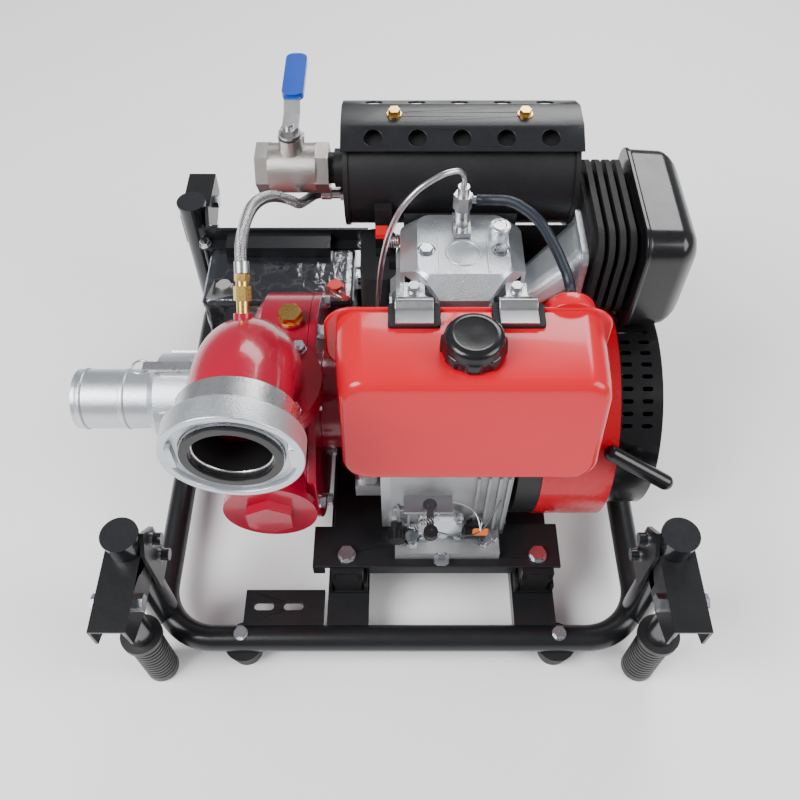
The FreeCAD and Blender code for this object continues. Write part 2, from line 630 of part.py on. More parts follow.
    save("valves", *stems)


def injector_and_pipes():
    x = INJECTOR_X
    y = INJECTOR_Y
    body = join(rod((x, y, 372), Z, 8, 106), hexagon((x, y, 478), Z, 17, 18),
                rod((x, y, 496), Z, 6, 10))
    clamp = box(x - 9, x + 9, y - 22, y + 10, 457, 463)
    clamp = clamp.cut(rod((x, y, 450), Z, 8 + GAP, 30))
    save("fuel_injection", body)
    save("fuel_injection", join(clamp, rod((x, y - 15, 463), Z, 6, 6)))
    # High-pressure steel pipe: up from the injector, over to the left and down to the pump.
    px, py = FEED_PUMP
    route = [(x, y, 506), (x, y, 519), (x - 6, y - 4, 529), (x - 21, y - 12, 532),
             (18, -24, 522), (0, -31, 502), (-12, -33, 470), (-20, -36, 430), (-24, -42, 380),
             (-26, -54, 336), (-30, -78, 302), (-34, -104, 284), (px + 1, -128, 276),
             (px, py + 12, 274), (px, py, 268), (px, py, 250)]
    save("injection_pipe", route_tube("injection_pipe", route, 3.0))
    # Fuel injection pump on the left of the crankcase.
    pump = join(rod((px, py, 200), Z, 15, 36), hexagon((px, py, 236), Z, 20, 14),
                box(px - 14, -22.2, py - 17, py + 17, 190, 212))
    save("fuel_injection", pump)
    # Rubber return hose: from the injector over to the tank's rear hump.
    hose = [(x + 13.6, y + 1, 488), (x + 26, y + 1, 488), (x + 50, y - 5, 492),
            (x + 76, y - 22, 483), (x + 94, y - 43, 463), (x + 106, y - 64, 445),
            (172, -76, 440), (172, -86.8, 440)]
    save("return_hose", route_tube("return_hose", hose, 5.5))
    banjo = rod((x + 9, y + 1, 488), X, 4, 4.4)
    save("fuel_injection", banjo.cut(hexagon((x, y, 478), Z, 17, 18)))


# ---------------------------------------------------------------- engine, turning parts
def crank_train():
    """Crankshaft halves, flywheel, pump impeller and the camshaft they drive."""
    left = join(
        rod((PUMP_X + 12, CRANK_Y, CRANK_Z), X, 12, 92),
        rod((-46, CRANK_Y, CRANK_Z), X, 17.5, 84),
        rod((38, CRANK_Y, CRANK_Z), X, 46, 16),
    )
    right = join(
        rod((70, CRANK_Y, CRANK_Z), X, 46, 16),
        rod((86, CRANK_Y, CRANK_Z), X, 17.5, 64),
        rod((150, CRANK_Y, CRANK_Z), X, 14, 50),
    )
    gear = spur_gear(0, 12, CRANK_Y, CRANK_Z, CRANK_TEETH, 0.0)
    left = join(left, gear)
    save("crankshaft", left, right)
    cam_y = CRANK_Y - GEAR_MODULE * (CRANK_TEETH + CAM_TEETH) / 2
    cam = join(
        rod((-14, cam_y, CRANK_Z), X, 9, 124.5),
        spur_gear(0.5, 11.5, cam_y, CRANK_Z, CAM_TEETH, math.pi / CAM_TEETH),
    )
    for x, lift_angle in ((40, 30), (76, 140)):
        lobe = rod((x, cam_y, CRANK_Z), X, 14, 10)
        nose = rod((x, cam_y + 7 * math.cos(math.radians(lift_angle)),
                    CRANK_Z + 7 * math.sin(math.radians(lift_angle))), X, 10, 10)
        cam = cam.fuse(lobe).fuse(nose)
    save("camshaft", cam.removeSplitter())
    wheel = join(rod((150, CRANK_Y, CRANK_Z), X, 30, 30), rod((156, CRANK_Y, CRANK_Z), X, 104, 10),
                 ring((156, CRANK_Y, CRANK_Z), X, 112, 90, 24))
    for blade in range(16):
        fin = box(180, 200, CRANK_Y + 70, CRANK_Y + 108, CRANK_Z - 1.5, CRANK_Z + 1.5)
        fin = turned(fin, (180, CRANK_Y, CRANK_Z), X, 22.5 * blade)
        wheel = wheel.fuse(fin)
    cup = ring((180, CRANK_Y, CRANK_Z), X, 48, 45, 26)
    wheel = wheel.fuse(cup).fuse(rod((176, CRANK_Y, CRANK_Z), X, 48, 5)).removeSplitter()
    save("flywheel", wheel.cut(rod((140, CRANK_Y, CRANK_Z), X, 14, 60)))
    impeller = join(
        rod((PUMP_X + 8, CRANK_Y, CRANK_Z), X, 92, 5),
        rod((PUMP_X - 10, CRANK_Y, CRANK_Z), X, 20, 22),
        ring((PUMP_X - 14, CRANK_Y, CRANK_Z), X, 92, 44, 4),
    )
    for vane in range(6):
        blade = box(PUMP_X - 11, PUMP_X + 9, CRANK_Y + 40, CRANK_Y + 90,
                    CRANK_Z - 2, CRANK_Z + 2)
        blade = turned(blade, (PUMP_X, CRANK_Y + 40, CRANK_Z), X, 35)
        blade = turned(blade, (PUMP_X, CRANK_Y, CRANK_Z), X, 60 * vane)
        keep = ring((PUMP_X - 20, CRANK_Y, CRANK_Z), X, 92, 30, 40)
        impeller = impeller.fuse(blade.common(keep))
    impeller = impeller.removeSplitter().cut(rod((PUMP_X + 12, CRANK_Y, CRANK_Z), X, 12, 92))
    save("impeller", impeller)


def engine_front():
    """Small parts on the front wall of the crankcase."""
    oil_cover = join(
        rounded_y(22, 74, -204, -200.2, 136.5, 188, 6),
        Part.makeCone(24, 6, 9, Vector(50.5, -204, 160), -Y),
        rod((50.5, -213, 160), -Y, 5, 3),
    )
    save("crankcase_covers", oil_cover)
    x, z = DIPSTICK_X, DIPSTICK_Z
    dipstick = join(rod((x, -206.2, z), Y, 5, 26), rod((x, -190, z), Y, 2, 60),
                    rod((x, -220, z), Y, 10, 13.8))
    for rib in range(12):
        notch = box(x - 1, x + 1, -222, -208, z + 8.8, z + 14)
        dipstick = dipstick.cut(turned(notch, (x, -206, z), Y, 30 * rib))
    dipstick = join(dipstick, rod((x, -206.2, z), Y, 10, 2), rod((x, -204.2, z), Y, 7, 7.9))
    save("dipstick", dipstick)
    x, z = FILLER_X, FILLER_Z
    filler = join(rod((x, -206, z), Y, 13, 4), rod((x, -202, z), Y, 9, 5.8),
                  rod((x, -197, z), Y, 9, 15),
                  box(x - 12, x + 12, -216, -206, z - 3.5, z + 3.5))
    save("oil_filler_plug", filler)
    plate = box(4, 60, -214, -192, 214, 217)
    plate = join(plate, box(4, 60, -194, -192, 198, 217))
    pivot = (34, -206)
    plate = plate.cut(rod((pivot[0], pivot[1], 210), Z, 4 + FIT, 12))
    screws = []
    for x in (14, 48):
        screws.append(join(hexagon((x, -197, 206), -Y, 9, 5), rod((x, -197, 206), Y, 3, 5)))
        plate = plate.cut(rod((x, -198, 206), Y, 3 + GAP, 10))
    save("crankcase_covers", plate)
    lever = join(box(30, 38, -246, -202, 217.5, 220.5), rod((34, -206, 217.5), Z, 8, 3),
                 rod((34, -206, 209), Z, 4, 16), rod((34, -206, 207), Z, 6, 2.5),
                 rod((34, -242, 217.5), Z, 8, 9))
    save("speed_lever", lever)
    # Decompression lever on the left of the rocker cover.
    pin_x = CYL_X - 62
    pin_y = LIFTER_Y
    shaft = join(rod((pin_x - 18, pin_y, 428), X, 4, 26),
                 box(pin_x - 18, pin_x - 13, pin_y - 7, pin_y + 7, 420, 444),
                 box(pin_x - 26, pin_x - 13, pin_y - 7, pin_y + 7, 438, 444))
    save("decompression_lever", shaft)


def fuel_tank():
    def section(x0, x1, z0, z1, y, radius):
        return rounded_wire(x0, x1, z0, z1, radius, lambda a, b: Vector(a, y, b))

    def shell(inset):
        front = Part.makeLoft([
            section(-66 + inset, 208 - inset, 346 + inset, 434 - inset, TANK_REAR + 3, 26),
            section(-60 + inset, 203 - inset, 313 + inset, 440 - inset, -196, 24),
            section(-57 + inset, 200 - inset, 308 + inset, 438 - inset, -212 + inset, 20),
            section(-49 + inset, 192 - inset, 314 + inset, 430 - inset, TANK_FRONT + inset, 14),
        ], True, True)
        return front

    rim = rounded_y(-78, 217, TANK_REAR, TANK_REAR + 3, 343, 439, 30)
    hump = rod((172, TANK_REAR, 421), Y, 27, 18)
    neck = rod((CAP_X, CAP_Y, 436), Z, 21, 10)
    # The front face leans back towards its top edge.
    lean = polygon_prism([(-90, -200, 446), (-90, -231, 298), (-90, -260, 298), (-90, -260, 446)],
                         (330, 0, 0))
    outer = join(shell(0).cut(lean), rim, hump, neck)
    inside = shell(1.6).cut(moved(lean, 0, 1.8, 0))
    inside = inside.cut(box(-90, 230, TANK_REAR + 1, 0, 200, 500))
    tank = cut(outer, inside, rod((CAP_X, CAP_Y, 430), Z, 18, 30),
               rod((172, TANK_REAR - 3, 421), Y, 24, 19))
    for x in STRAP_X:
        tank = tank.cut(box(x - 27, x + 27, -130, TANK_REAR + 4, 430, 445))
    closing = [box(x - 27, x + 27, -130, TANK_REAR + 3, 426, 430) for x in STRAP_X]
    tank = join(tank, *closing)
    save("fuel_tank", max(tank.Solids, key=lambda solid: solid.Volume))
    gasket = ring((CAP_X, CAP_Y, 446.2), Z, 21, 14, 3)
    stem = rod((CAP_X, CAP_Y, 432), Z, 14, 14.2 + 3)
    save("fuel_cap", join(gasket, stem))
    cap = ring((CAP_X, CAP_Y, 442), Z, 31, 22, 22)
    cap = join(cap, rod((CAP_X, CAP_Y, 458), Z, 28, 6))
    cap = cap.cut(rod((CAP_X, CAP_Y, 440), Z, 22, 9.3))
    cap = cap.cut(rod((CAP_X, CAP_Y, 449), Z, 22, 0.6))
    cap = join(cap, ring((CAP_X, CAP_Y, 449.6), Z, 24, 8, 9))
    for lug in range(8):
        bump = box(CAP_X + 29, CAP_X + 32.5, CAP_Y - 5, CAP_Y + 5, 443, 458)
        cap = cap.fuse(turned(bump, (CAP_X, CAP_Y, 440), Z, 45 * lug + 22.5))
    save("fuel_cap", cap.removeSplitter())
    straps = []
    pads = []
    bolts = []
    for x in STRAP_X:
        pad = join(box(x - 26, x + 26, -129, -106, 430.3, 434),
                   box(x - 19, x + 19, -127, -106, 434, STRAP_Z - 0.2))
        pads.append(pad)
        strap = join(box(x - 19, x + 19, -129, -98, STRAP_Z, STRAP_Z + 3),
                     box(x - 10, x + 10, -98, STRAP_BOLT_Y, STRAP_Z, STRAP_Z + 3),
                     rod((x, STRAP_BOLT_Y, STRAP_Z), Z, 9.5, 3))
        seat = (x, STRAP_BOLT_Y, STRAP_Z + 3)
        straps.append(cut(strap, hole(seat, Z, 3, 5)))
        bolts.append(bolt(seat, Z, 3, 20))
    save("tank_straps", *straps)
    save("tank_straps", *[p.cut(rod((CAP_X, CAP_Y, 420), Z, 34, 60)) for p in pads])
    save("fasteners", *bolts)


def exhaust():
    x0, x1 = MUFFLER_X
    body = rod((x0, MUFFLER_Y, MUFFLER_Z), X, MUFFLER_R, x1 - x0)
    for x in (x0, x1 - 5):
        body = body.fuse(ring((x, MUFFLER_Y, MUFFLER_Z), X, MUFFLER_R + 2, MUFFLER_R - 1, 5))
    body = body.cut(rod((x0 + 3, MUFFLER_Y, MUFFLER_Z), X, MUFFLER_R - 1.5, x1 - x0 - 6))
    body = body.cut(rod((x0 - 1, MUFFLER_Y, MUFFLER_Z), X, 15, 6))
    pipe = rod((CYL_X - 15, CRANK_Y + 62.5, 396), Y, 14, 66)
    pipe = cut(pipe, rod((x0, MUFFLER_Y, MUFFLER_Z), X, MUFFLER_R, x1 - x0))
    flange = box(CYL_X - 38, CYL_X + 8, CRANK_Y + 62.5, CRANK_Y + 68, 374, 416)
    save("muffler", max(join(pipe, flange).Solids, key=lambda solid: solid.Volume))
    stub = rod((x0 - 18, MUFFLER_Y, STUB_Z), X, 6, 17.5)
    save("muffler", body)
    save("muffler", join(stub, hexagon((x0 - 8, MUFFLER_Y, STUB_Z), X, 15, 7.5)))
    # Heat shield: an angled, perforated cover over the top of the muffler.
    def angle_point(radius, degrees, x):
        a = math.radians(degrees)
        return (x, MUFFLER_Y + radius * math.cos(a), MUFFLER_Z + radius * math.sin(a))

    outer = [angle_point(SHIELD_R, a, x0 - 2) for a in (128, 104, 76, 52)]
    inner = [angle_point(SHIELD_R - 2.5, a, x0 - 2) for a in (52, 76, 104, 128)]
    shield = polygon_prism(outer + inner, (x1 - x0 + 4, 0, 0))
    for column in range(5):
        x = x0 + 32 + 46 * column
        for degrees in (116, 64):
            hole_axis = Vector(0, math.cos(math.radians(degrees)), math.sin(math.radians(degrees)))
            shield = shield.cut(rod((x, MUFFLER_Y, MUFFLER_Z), hole_axis, 9.5, 90))
    bolts = []
    for x in (x0 + 54, x1 - 58):
        tab = ring((x, MUFFLER_Y, MUFFLER_Z + MUFFLER_R - 0.5), Z, 8, 3 + GAP, 5)
        tab = tab.cut(rod((x0, MUFFLER_Y, MUFFLER_Z), X, MUFFLER_R, x1 - x0))
        top = MUFFLER_Z + SHIELD_R * math.cos(math.radians(14))
        shield = shield.cut(rod((x, MUFFLER_Y, MUFFLER_Z + 40), Z, 3 + GAP, 60))
        bolts.append(join(hexagon((x, MUFFLER_Y, top + 1.5), Z, 11, 5),
                          rod((x, MUFFLER_Y, top), Z, 8, 1.6),
                          rod((x, MUFFLER_Y, top - 6), Z, 3, 8)))
    save("heat_shield", shield)
    save("fasteners", *bolts)
    bracket = join(box(-27, -9, MUFFLER_Y - 72, MUFFLER_Y - 68, 400, 457),
                   box(-27, -9, MUFFLER_Y - 72, MUFFLER_Y - 55, 453, 457))
    bracket = join(bracket, box(-27, CYL_X - 66.5, CRANK_Y + 60, CRANK_Y + 72, 398, 402))
    bracket = join(bracket, box(CYL_X - 74, CYL_X - 66.2, CRANK_Y + 40, CRANK_Y + 72, 398, 410))
    save("muffler", bracket.cut(rod((x0, MUFFLER_Y, MUFFLER_Z), X, MUFFLER_R + 0.2,
                                            x1 - x0)))
    nipple = ring((x0 - 24, MUFFLER_Y, MUFFLER_Z), X, 17, 12, 24)
    save("muffler", join(nipple, ring((x0 - 12, MUFFLER_Y, MUFFLER_Z), X, 21, 12, 12)))
    exhaust_valve()


def exhaust_valve():
    y, z = MUFFLER_Y, MUFFLER_Z
    x0, x1 = VALVE_X - 40, VALVE_X + 40
    body = join(
        rod((x0 + 14, y, z), X, 27, 52),
        hexagon((x0, y, z), X, 48, 17, 30),
        hexagon((x1 - 17, y, z), X, 48, 17, 30),
        rod((VALVE_X, y, z + 18), Z, 13, 24),
        box(VALVE_X - 6, VALVE_X + 14, y + 4, y + 13, z + 30, z + 42),
    )
    body = cut(
        body,
        rod((x0 - 1, y, z), X, 14, 90),
        rod((x0 - 1, y, z), X, 16.5, 19),
        rod((x1 - 18, y, z), X, 17 + FIT, 19),
        Part.makeSphere(20 + FIT, Vector(VALVE_X, y, z)),
        rod((VALVE_X, y, z), Z, 5 + FIT, 60),
    )
    body = body.cut(box(VALVE_X - 60, VALVE_X + 60, y + 4, y + 14, z + 38, z + 43))
    save("ball_valve_body", max(body.Solids, key=lambda solid: solid.Volume))
    ball = Part.makeSphere(20, Vector(VALVE_X, y, z)).cut(rod((VALVE_X, y - 30, z), Y, 13, 60))
    stem = rod((VALVE_X, y, z + 14), Z, 5, 44)
    save("valve_lever", join(ball, stem))
    lever_z = z + 44
    blade = join(rod((VALVE_X, y, lever_z), Z, 12, 3),
                 box(VALVE_X - 9, VALVE_X + 9, y, y + 34, lever_z, lever_z + 3),
                 polygon_prism([(VALVE_X - 9, y + 33, lever_z), (VALVE_X - 9, y + 46, lever_z + 9),
                                (VALVE_X - 9, y + 46, lever_z + 12),
                                (VALVE_X - 9, y + 33, lever_z + 3)], (18, 0, 0)),
                 box(VALVE_X - 9, VALVE_X + 9, y + 45, y + 124, lever_z + 9, lever_z + 12))
    blade = blade.cut(rod((VALVE_X, y, lever_z - 1), Z, 5, 10))
    nut = hexagon((VALVE_X, y, lever_z + 3), Z, 16, 6).cut(rod((VALVE_X, y, lever_z), Z, 5, 30))
    save("valve_lever", join(blade, nut))
    sleeve = rounded_z(VALVE_X - 12, VALVE_X + 12, y + 50, y + 130, lever_z + 6.5,
                       lever_z + 14.5, 9)
    save("valve_lever", sleeve.cut(blade))


def air_cleaner():
    horn = Part.makeLoft([
        rounded_wire(CRANK_Y - 14, CRANK_Y + 34, 380, 412, 12, lambda a, b: Vector(130.5, a, b)),
        rounded_wire(CRANK_Y + 20, CRANK_Y + 86, 380, 434, 16, lambda a, b: Vector(190, a, b)),
    ], True, True)
    flange = rounded_x(190, 197, CRANK_Y + 12, CRANK_Y + 94, 372, 442, 12)
    horn = join(horn, flange)
    bore = Part.makeLoft([
        rounded_wire(CRANK_Y - 8, CRANK_Y + 28, 386, 406, 8, lambda a, b: Vector(129, a, b)),
        rounded_wire(CRANK_Y + 26, CRANK_Y + 80, 386, 428, 12, lambda a, b: Vector(198, a, b)),
    ], True, True)
    save("intake_horn", horn.cut(bore))
    # Ribbed rubber body between the horn and the cover.
    y0, y1, z0, z1 = -48, 104, 354, 470
    body = rounded_x(197.2, 245.8, y0 + 12, y1 - 12, z0 + 12, z1 - 12, 22)
    for rib in range(4):
        x = 202 + 11 * rib
        body = body.fuse(rounded_x(x, x + 6, y0, y1, z0, z1, 28))
    body = body.removeSplitter().cut(rounded_x(200, 246, y0 + 16, y1 - 16, z0 + 16, z1 - 16, 18))
    body = body.cut(rounded_x(195, 215, CRANK_Y + 26, CRANK_Y + 80, 386, 428, 12))
    save("air_cleaner_bellows", body)
    cover = rounded_x(246, 306, -60, 112, 342, 480, 30)
    cover = cover.cut(rounded_x(245, 303, -57, 109, 345, 477, 27))
    save("air_cleaner_cover", cover)
    filt = rounded_x(206, 286, -10, 64, 378, 446, 20).cut(rounded_x(205, 276, 0, 54, 388, 436, 14))
    save("air_filter_element", filt)


def fan_and_recoil():
    back = rod((133, CRANK_Y, CRANK_Z), X, FAN_R - 1, 27)
    back = back.cut(rod((136, CRANK_Y, CRANK_Z), X, FAN_R - 4, 30))
    back = back.cut(rod((130, CRANK_Y, CRANK_Z), X, 30, 20))
    back = join(back, *[rod((127.2, CRANK_Y + dy, CRANK_Z + dz), X, 8, 6)
                        for dy, dz in ((-60, 50), (60, 50), (-60, -50), (60, -50))])
    save("fan_shroud", back)
    shroud = rod((160.2, CRANK_Y, CRANK_Z), X, FAN_R, 79.6)
    shroud = shroud.cut(rod((159, CRANK_Y, CRANK_Z), X, FAN_R - 3, 78))
    shroud = shroud.cut(rod((159, CRANK_Y, CRANK_Z), X, 118, 90))
    duct = box(160.2, 200, CRANK_Y - 50, CRANK_Y + 44, CRANK_Z + 100, 364)
    duct = duct.cut(box(159, 197, CRANK_Y - 47, CRANK_Y + 41, CRANK_Z + 80, 361))
    duct = duct.cut(rod((150, CRANK_Y, CRANK_Z), X, FAN_R - 3, 100))
    shroud = join(shroud, duct)
    save("fan_shroud", max(shroud.Solids, key=lambda solid: solid.Volume))
    house = rod((240, CRANK_Y, CRANK_Z), X, RECOIL_R, 50)
    house = house.cut(rod((239, CRANK_Y, CRANK_Z), X, RECOIL_R - 3, 48))
    slot = slot_z(251, 0, CRANK_Z + 90, CRANK_Z + 150, 12, 5)
    slot = moved(slot, 0, CRANK_Y, 0)
    for row in range(2):
        for column in range(-8, 17):
            tool = moved(slot, row * 22, 0, 0)
            house = house.cut(turned(tool, (250, CRANK_Y, CRANK_Z), X, -6.2 * column))
    house = join(house, rod((246, CRANK_Y, CRANK_Z), X, 10, 42))
    guide = rod(PULL_START, PULL_AXIS, 12, 14)
    guide = guide.cut(rod((230, CRANK_Y, CRANK_Z), X, RECOIL_R - 4, 70))
    house = house.fuse(guide).removeSplitter()
    house = house.cut(rod(PULL_START, PULL_AXIS, 4, 60))
    save("recoil_housing", max(house.Solids, key=lambda solid: solid.Volume))
    pulley = join(
        ring((212, CRANK_Y, CRANK_Z), X, 42, 10 + FIT, 14),
        ring((226, CRANK_Y, CRANK_Z), X, 56, 10 + FIT, 3),
        ring((229, CRANK_Y, CRANK_Z), X, 40, 10 + FIT, 8),
        ring((237, CRANK_Y, CRANK_Z), X, 56, 10 + FIT, 3),
    )
    pulley = join(pulley, rod((208, CRANK_Y, CRANK_Z), X, 20, 6))
    pulley = moved(pulley, 30, 0, 0)
    save("recoil_pulley", pulley)
    direction = Vector(PULL_AXIS)
    start = Vector(*PULL_START)
    cord = rod(start + direction * 15, direction, 2.5, 10)
    save("recoil_handle", cord)
    grip_centre = start + direction * 31
    across = Vector(1, 0, 0)
    across = FreeCAD.Rotation(direction, -31).multVec(across)
    handle = rod(grip_centre - across * 37, across, 9, 74)
    handle = join(handle, Part.makeSphere(9, grip_centre - across * 37),
                  Part.makeSphere(9, grip_centre + across * 37),
                  rod(start + direction * 20, direction, 7, 8))
    save("recoil_handle", handle.cut(cord))
    starter = join(rod((10, 96, 205), X, 31, 104), rod((114, 96, 205), X, 20, 12),
                   rod((30, 96, 257), X, 19, 66), box(50, 82, 88, 104, 228, 246))
    mount = box(104, 114, 62.5, 96, 180, 230)
    starter = join(starter, mount)
    save("starter_motor", starter)


RECOIL_R = 128.0
PULL_ANGLE = math.radians(24)
PULL_AXIS = (0.0, -math.cos(PULL_ANGLE), math.sin(PULL_ANGLE))
PULL_START = (262.0, CRANK_Y - 120 * math.cos(PULL_ANGLE), CRANK_Z + 120 * math.sin(PULL_ANGLE))


# ---------------------------------------------------------------- pump
def volute_outline(x, scale, offset):
    """Spiral outline of the volute; the radius grows from the tongue round to the neck."""
    def point(share):
        angle = math.radians(150 - 345 * share)
        radius = offset + scale * share
        return Vector(x, CRANK_Y + radius * math.cos(angle), CRANK_Z + radius * math.sin(angle))

    edges = []
    for step in range(VOLUTE_ARCS):
        low = step / VOLUTE_ARCS
        high = (step + 1) / VOLUTE_ARCS
        edges.append(Part.Arc(point(low), point((low + high) / 2), point(high)).toShape())
    edges.append(Part.LineSegment(point(1), point(0)).toShape())
    return Part.Wire(edges)


def pump():
    wide = volute_outline(PUMP_X - 22, 26, 124)
    narrow = volute_outline(PUMP_X - 34, 22, 108)
    casing = Part.Face(wide).extrude(Vector(56, 0, 0))
    nose = Part.makeLoft([narrow, wide], True, True)
    neck = rod((NECK_X, NECK_Y, CRANK_Z - 30), Z, 48, NECK_TOP - CRANK_Z + 30)
    flange = rod((NECK_X, NECK_Y, NECK_TOP - 12), Z, 66, 12)
    port = rod((NECK_X, NECK_Y, CRANK_Z + 10), -Y, 52, 60)
    inlet = rod((PUMP_X - 74, CRANK_Y, CRANK_Z), X, 44, 60)
    inlet_flange = rod((PUMP_X - 74, CRANK_Y, CRANK_Z), X, 54, 10)
    plug_seat = rod((-124, -34, CRANK_Z + 100), Z, 15, 34)
    casing = join(casing, nose, neck, flange, port, inlet, inlet_flange, plug_seat)
    casing = casing.cut(box(PUMP_X + 34, 0, -260, 120, 40, 326))
    casing = cut(
        casing,
        rod((PUMP_X - 16, CRANK_Y, CRANK_Z), X, 104, 60),
        rod((PUMP_X - 80, CRANK_Y, CRANK_Z), X, 38, 90),
        rod((NECK_X, NECK_Y, CRANK_Z - 10), Z, 40, 300),
        rod((NECK_X, NECK_Y, CRANK_Z + 10), -Y, 38, 62),
        rod((-124, -34, CRANK_Z + 60), Z, 9, 90),
    )
    studs = []
    for quarter in range(4):
        angle = math.radians(45 + 90 * quarter)
        x = NECK_X + 56 * math.cos(angle)
        y = NECK_Y + 56 * math.sin(angle)
        casing = casing.cut(rod((x, y, NECK_TOP - 13), Z, 4 + GAP, 14))
        studs.append(join(rod((x, y, NECK_TOP - 11), Z, 4, 34),
                          rod((x, y, NECK_TOP + 12), Z, 8, 1.6),
                          hexagon((x, y, NECK_TOP + 13.6), Z, 13, 6.5)))
    back_bolts = []
    cover = Part.Face(volute_outline(PUMP_X + 34.2, 26, 124)).extrude(Vector(10, 0, 0))
    cover = cover.cut(rod((PUMP_X + 30, CRANK_Y, CRANK_Z), X, 25, 20))
    cover = join(cover, ring((PUMP_X + 44, CRANK_Y, CRANK_Z), X, 62, 50, 64),
                 ring((PUMP_X + 108, CRANK_Y, CRANK_Z), X, 80, 50, 7.5))
    cover = cover.cut(box(-70, -44, CRANK_Y - 30, CRANK_Y + 30, 230, 300))
    for step in range(8):
        share = (step + 0.5) / 8
        angle = math.radians(150 - 345 * share)
        radius = 113 + 26 * share
        y = CRANK_Y + radius * math.cos(angle)
        z = CRANK_Z + radius * math.sin(angle)
        casing = casing.cut(rod((PUMP_X + 18, y, z), X, 4 + GAP, 20))
        cover = cover.cut(rod((PUMP_X + 30, y, z), X, 4 + GAP, 20))
        back_bolts.append(bolt((PUMP_X + 44.2, y, z), X, 4, 22))
    save("pump_volute", max(casing.Solids, key=lambda solid: solid.Volume))
    save("pump_back_cover", max(cover.Solids, key=lambda solid: solid.Volume))
    save("fasteners", *back_bolts)
    seal = ring((PUMP_X + 34.2, CRANK_Y, CRANK_Z), X, 24.8, 12 + FIT, 14)
    save("bearings_and_seals", seal)
    plug = join(hexagon((-124, -34, CRANK_Z + 136), Z, 24, 9), rod((-124, -34, CRANK_Z + 134.2), Z, 14, 2),
                rod((-124, -34, CRANK_Z + 124), Z, 8.8, 12))
    save("pump_fittings", plug)
    front = NECK_Y - 60
    cap = join(rod((NECK_X, front, CRANK_Z + 10), -Y, 53, 9),
               hexagon((NECK_X, front - 8, CRANK_Z + 10), -Y, 50, 12, 30),
               ring((NECK_X, front + 12, CRANK_Z + 10), -Y, 37.8, 32, 13))
    save("pump_volute", cap)
    elbow_and_outlet(studs)
    suction()


def elbow_shape(radius):
    foot_z = OUTLET_Z - ELBOW_BEND
    circle = Part.Wire(Part.makeCircle(radius, Vector(NECK_X, NECK_Y, foot_z), Z))
    bend = Part.Face(circle).revolve(Vector(NECK_X, NECK_Y - ELBOW_BEND, foot_z), X, 90)
    rise = rod((NECK_X, NECK_Y, NECK_TOP + 0.5), Z, radius, foot_z - NECK_TOP - 0.5)
    run = rod((NECK_X, NECK_Y - ELBOW_BEND, OUTLET_Z), -Y, radius, 28)
    return join(bend, rise, run)


def elbow_and_outlet(studs):
    elbow = join(elbow_shape(ELBOW_R), rod((NECK_X, NECK_Y, NECK_TOP + 0.5), Z, 66, 11.5))
    seat = Vector(*FITTING_FOOT)
    way = Vector(*FITTING_AXIS)
    elbow = elbow.fuse(rod(seat - way * 12, way, 9, 15))
    elbow = cut(elbow, elbow_shape(ELBOW_BORE), rod((NECK_X, NECK_Y, NECK_TOP), Z, ELBOW_BORE, 13),
                rod(seat - way * 30, way, 4, 50), rod(seat - way * 8, way, 6 + FIT, 20))
    for quarter in range(4):
        angle = math.radians(45 + 90 * quarter)
        x = NECK_X + 56 * math.cos(angle)
        y = NECK_Y + 56 * math.sin(angle)
        elbow = elbow.cut(rod((x, y, NECK_TOP), Z, 4 + GAP, 12.5))
        elbow = elbow.cut(rod((x, y, NECK_TOP + 12), Z, 9, 14))
    save("discharge_elbow", max(elbow.Solids, key=lambda solid: solid.Volume))
    save("fasteners", *studs)
    gasket = ring((NECK_X, NECK_Y, NECK_TOP), Z, 50, 41, 0.5)
    save("bearings_and_seals", gasket)
    # Check flap under the elbow, hinged at the rear of the neck.
    flap_z = NECK_TOP - 8
    flap = rod((NECK_X, NECK_Y - 2, flap_z), Z, 36.5, 4)
    lug = box(NECK_X - 8, NECK_X + 8, NECK_Y + 26, NECK_Y + 33, flap_z, flap_z + 4)
    save("check_flap", join(flap, lug))
    y = NECK_Y - ELBOW_BEND - 28
    collar = join(ring((NECK_X, y + 6, OUTLET_Z), -Y, 56, ELBOW_R + 0.2, 6),
                  ring((NECK_X, y, OUTLET_Z), -Y, 56, 37, 18),
                  ring((NECK_X, y - 18, OUTLET_Z), -Y, 46, 37, 20))
    save("discharge_elbow", collar)
    face = y - 18.3
    coupling = ring((NECK_X, face, OUTLET_Z), -Y, 64, 46.1, 24)
    coupling = coupling.cut(ring((NECK_X, face - 17, OUTLET_Z), -Y, 57, 46, 10))
    for side in (0, 180):
        lug = box(NECK_X + 50, NECK_X + 60, face - 24, face - 16, OUTLET_Z - 15, OUTLET_Z + 15)
        lug = lug.common(ring((NECK_X, face, OUTLET_Z), -Y, 60, 50, 24))
        coupling = coupling.fuse(turned(lug, (NECK_X, face, OUTLET_Z), Y, side))
    save("discharge_coupling", coupling.removeSplitter())
    seal = ring((NECK_X, y - 38.2, OUTLET_Z), -Y, 45.5, 37.5, 4)
    save("bearings_and_seals", seal)


FITTING_AXIS = (0.0, math.sqrt(0.5), math.sqrt(0.5))
FITTING_FOOT = (NECK_X - 4, NECK_Y - ELBOW_BEND + 114 * math.sqrt(0.5),
                OUTLET_Z - ELBOW_BEND + 114 * math.sqrt(0.5))


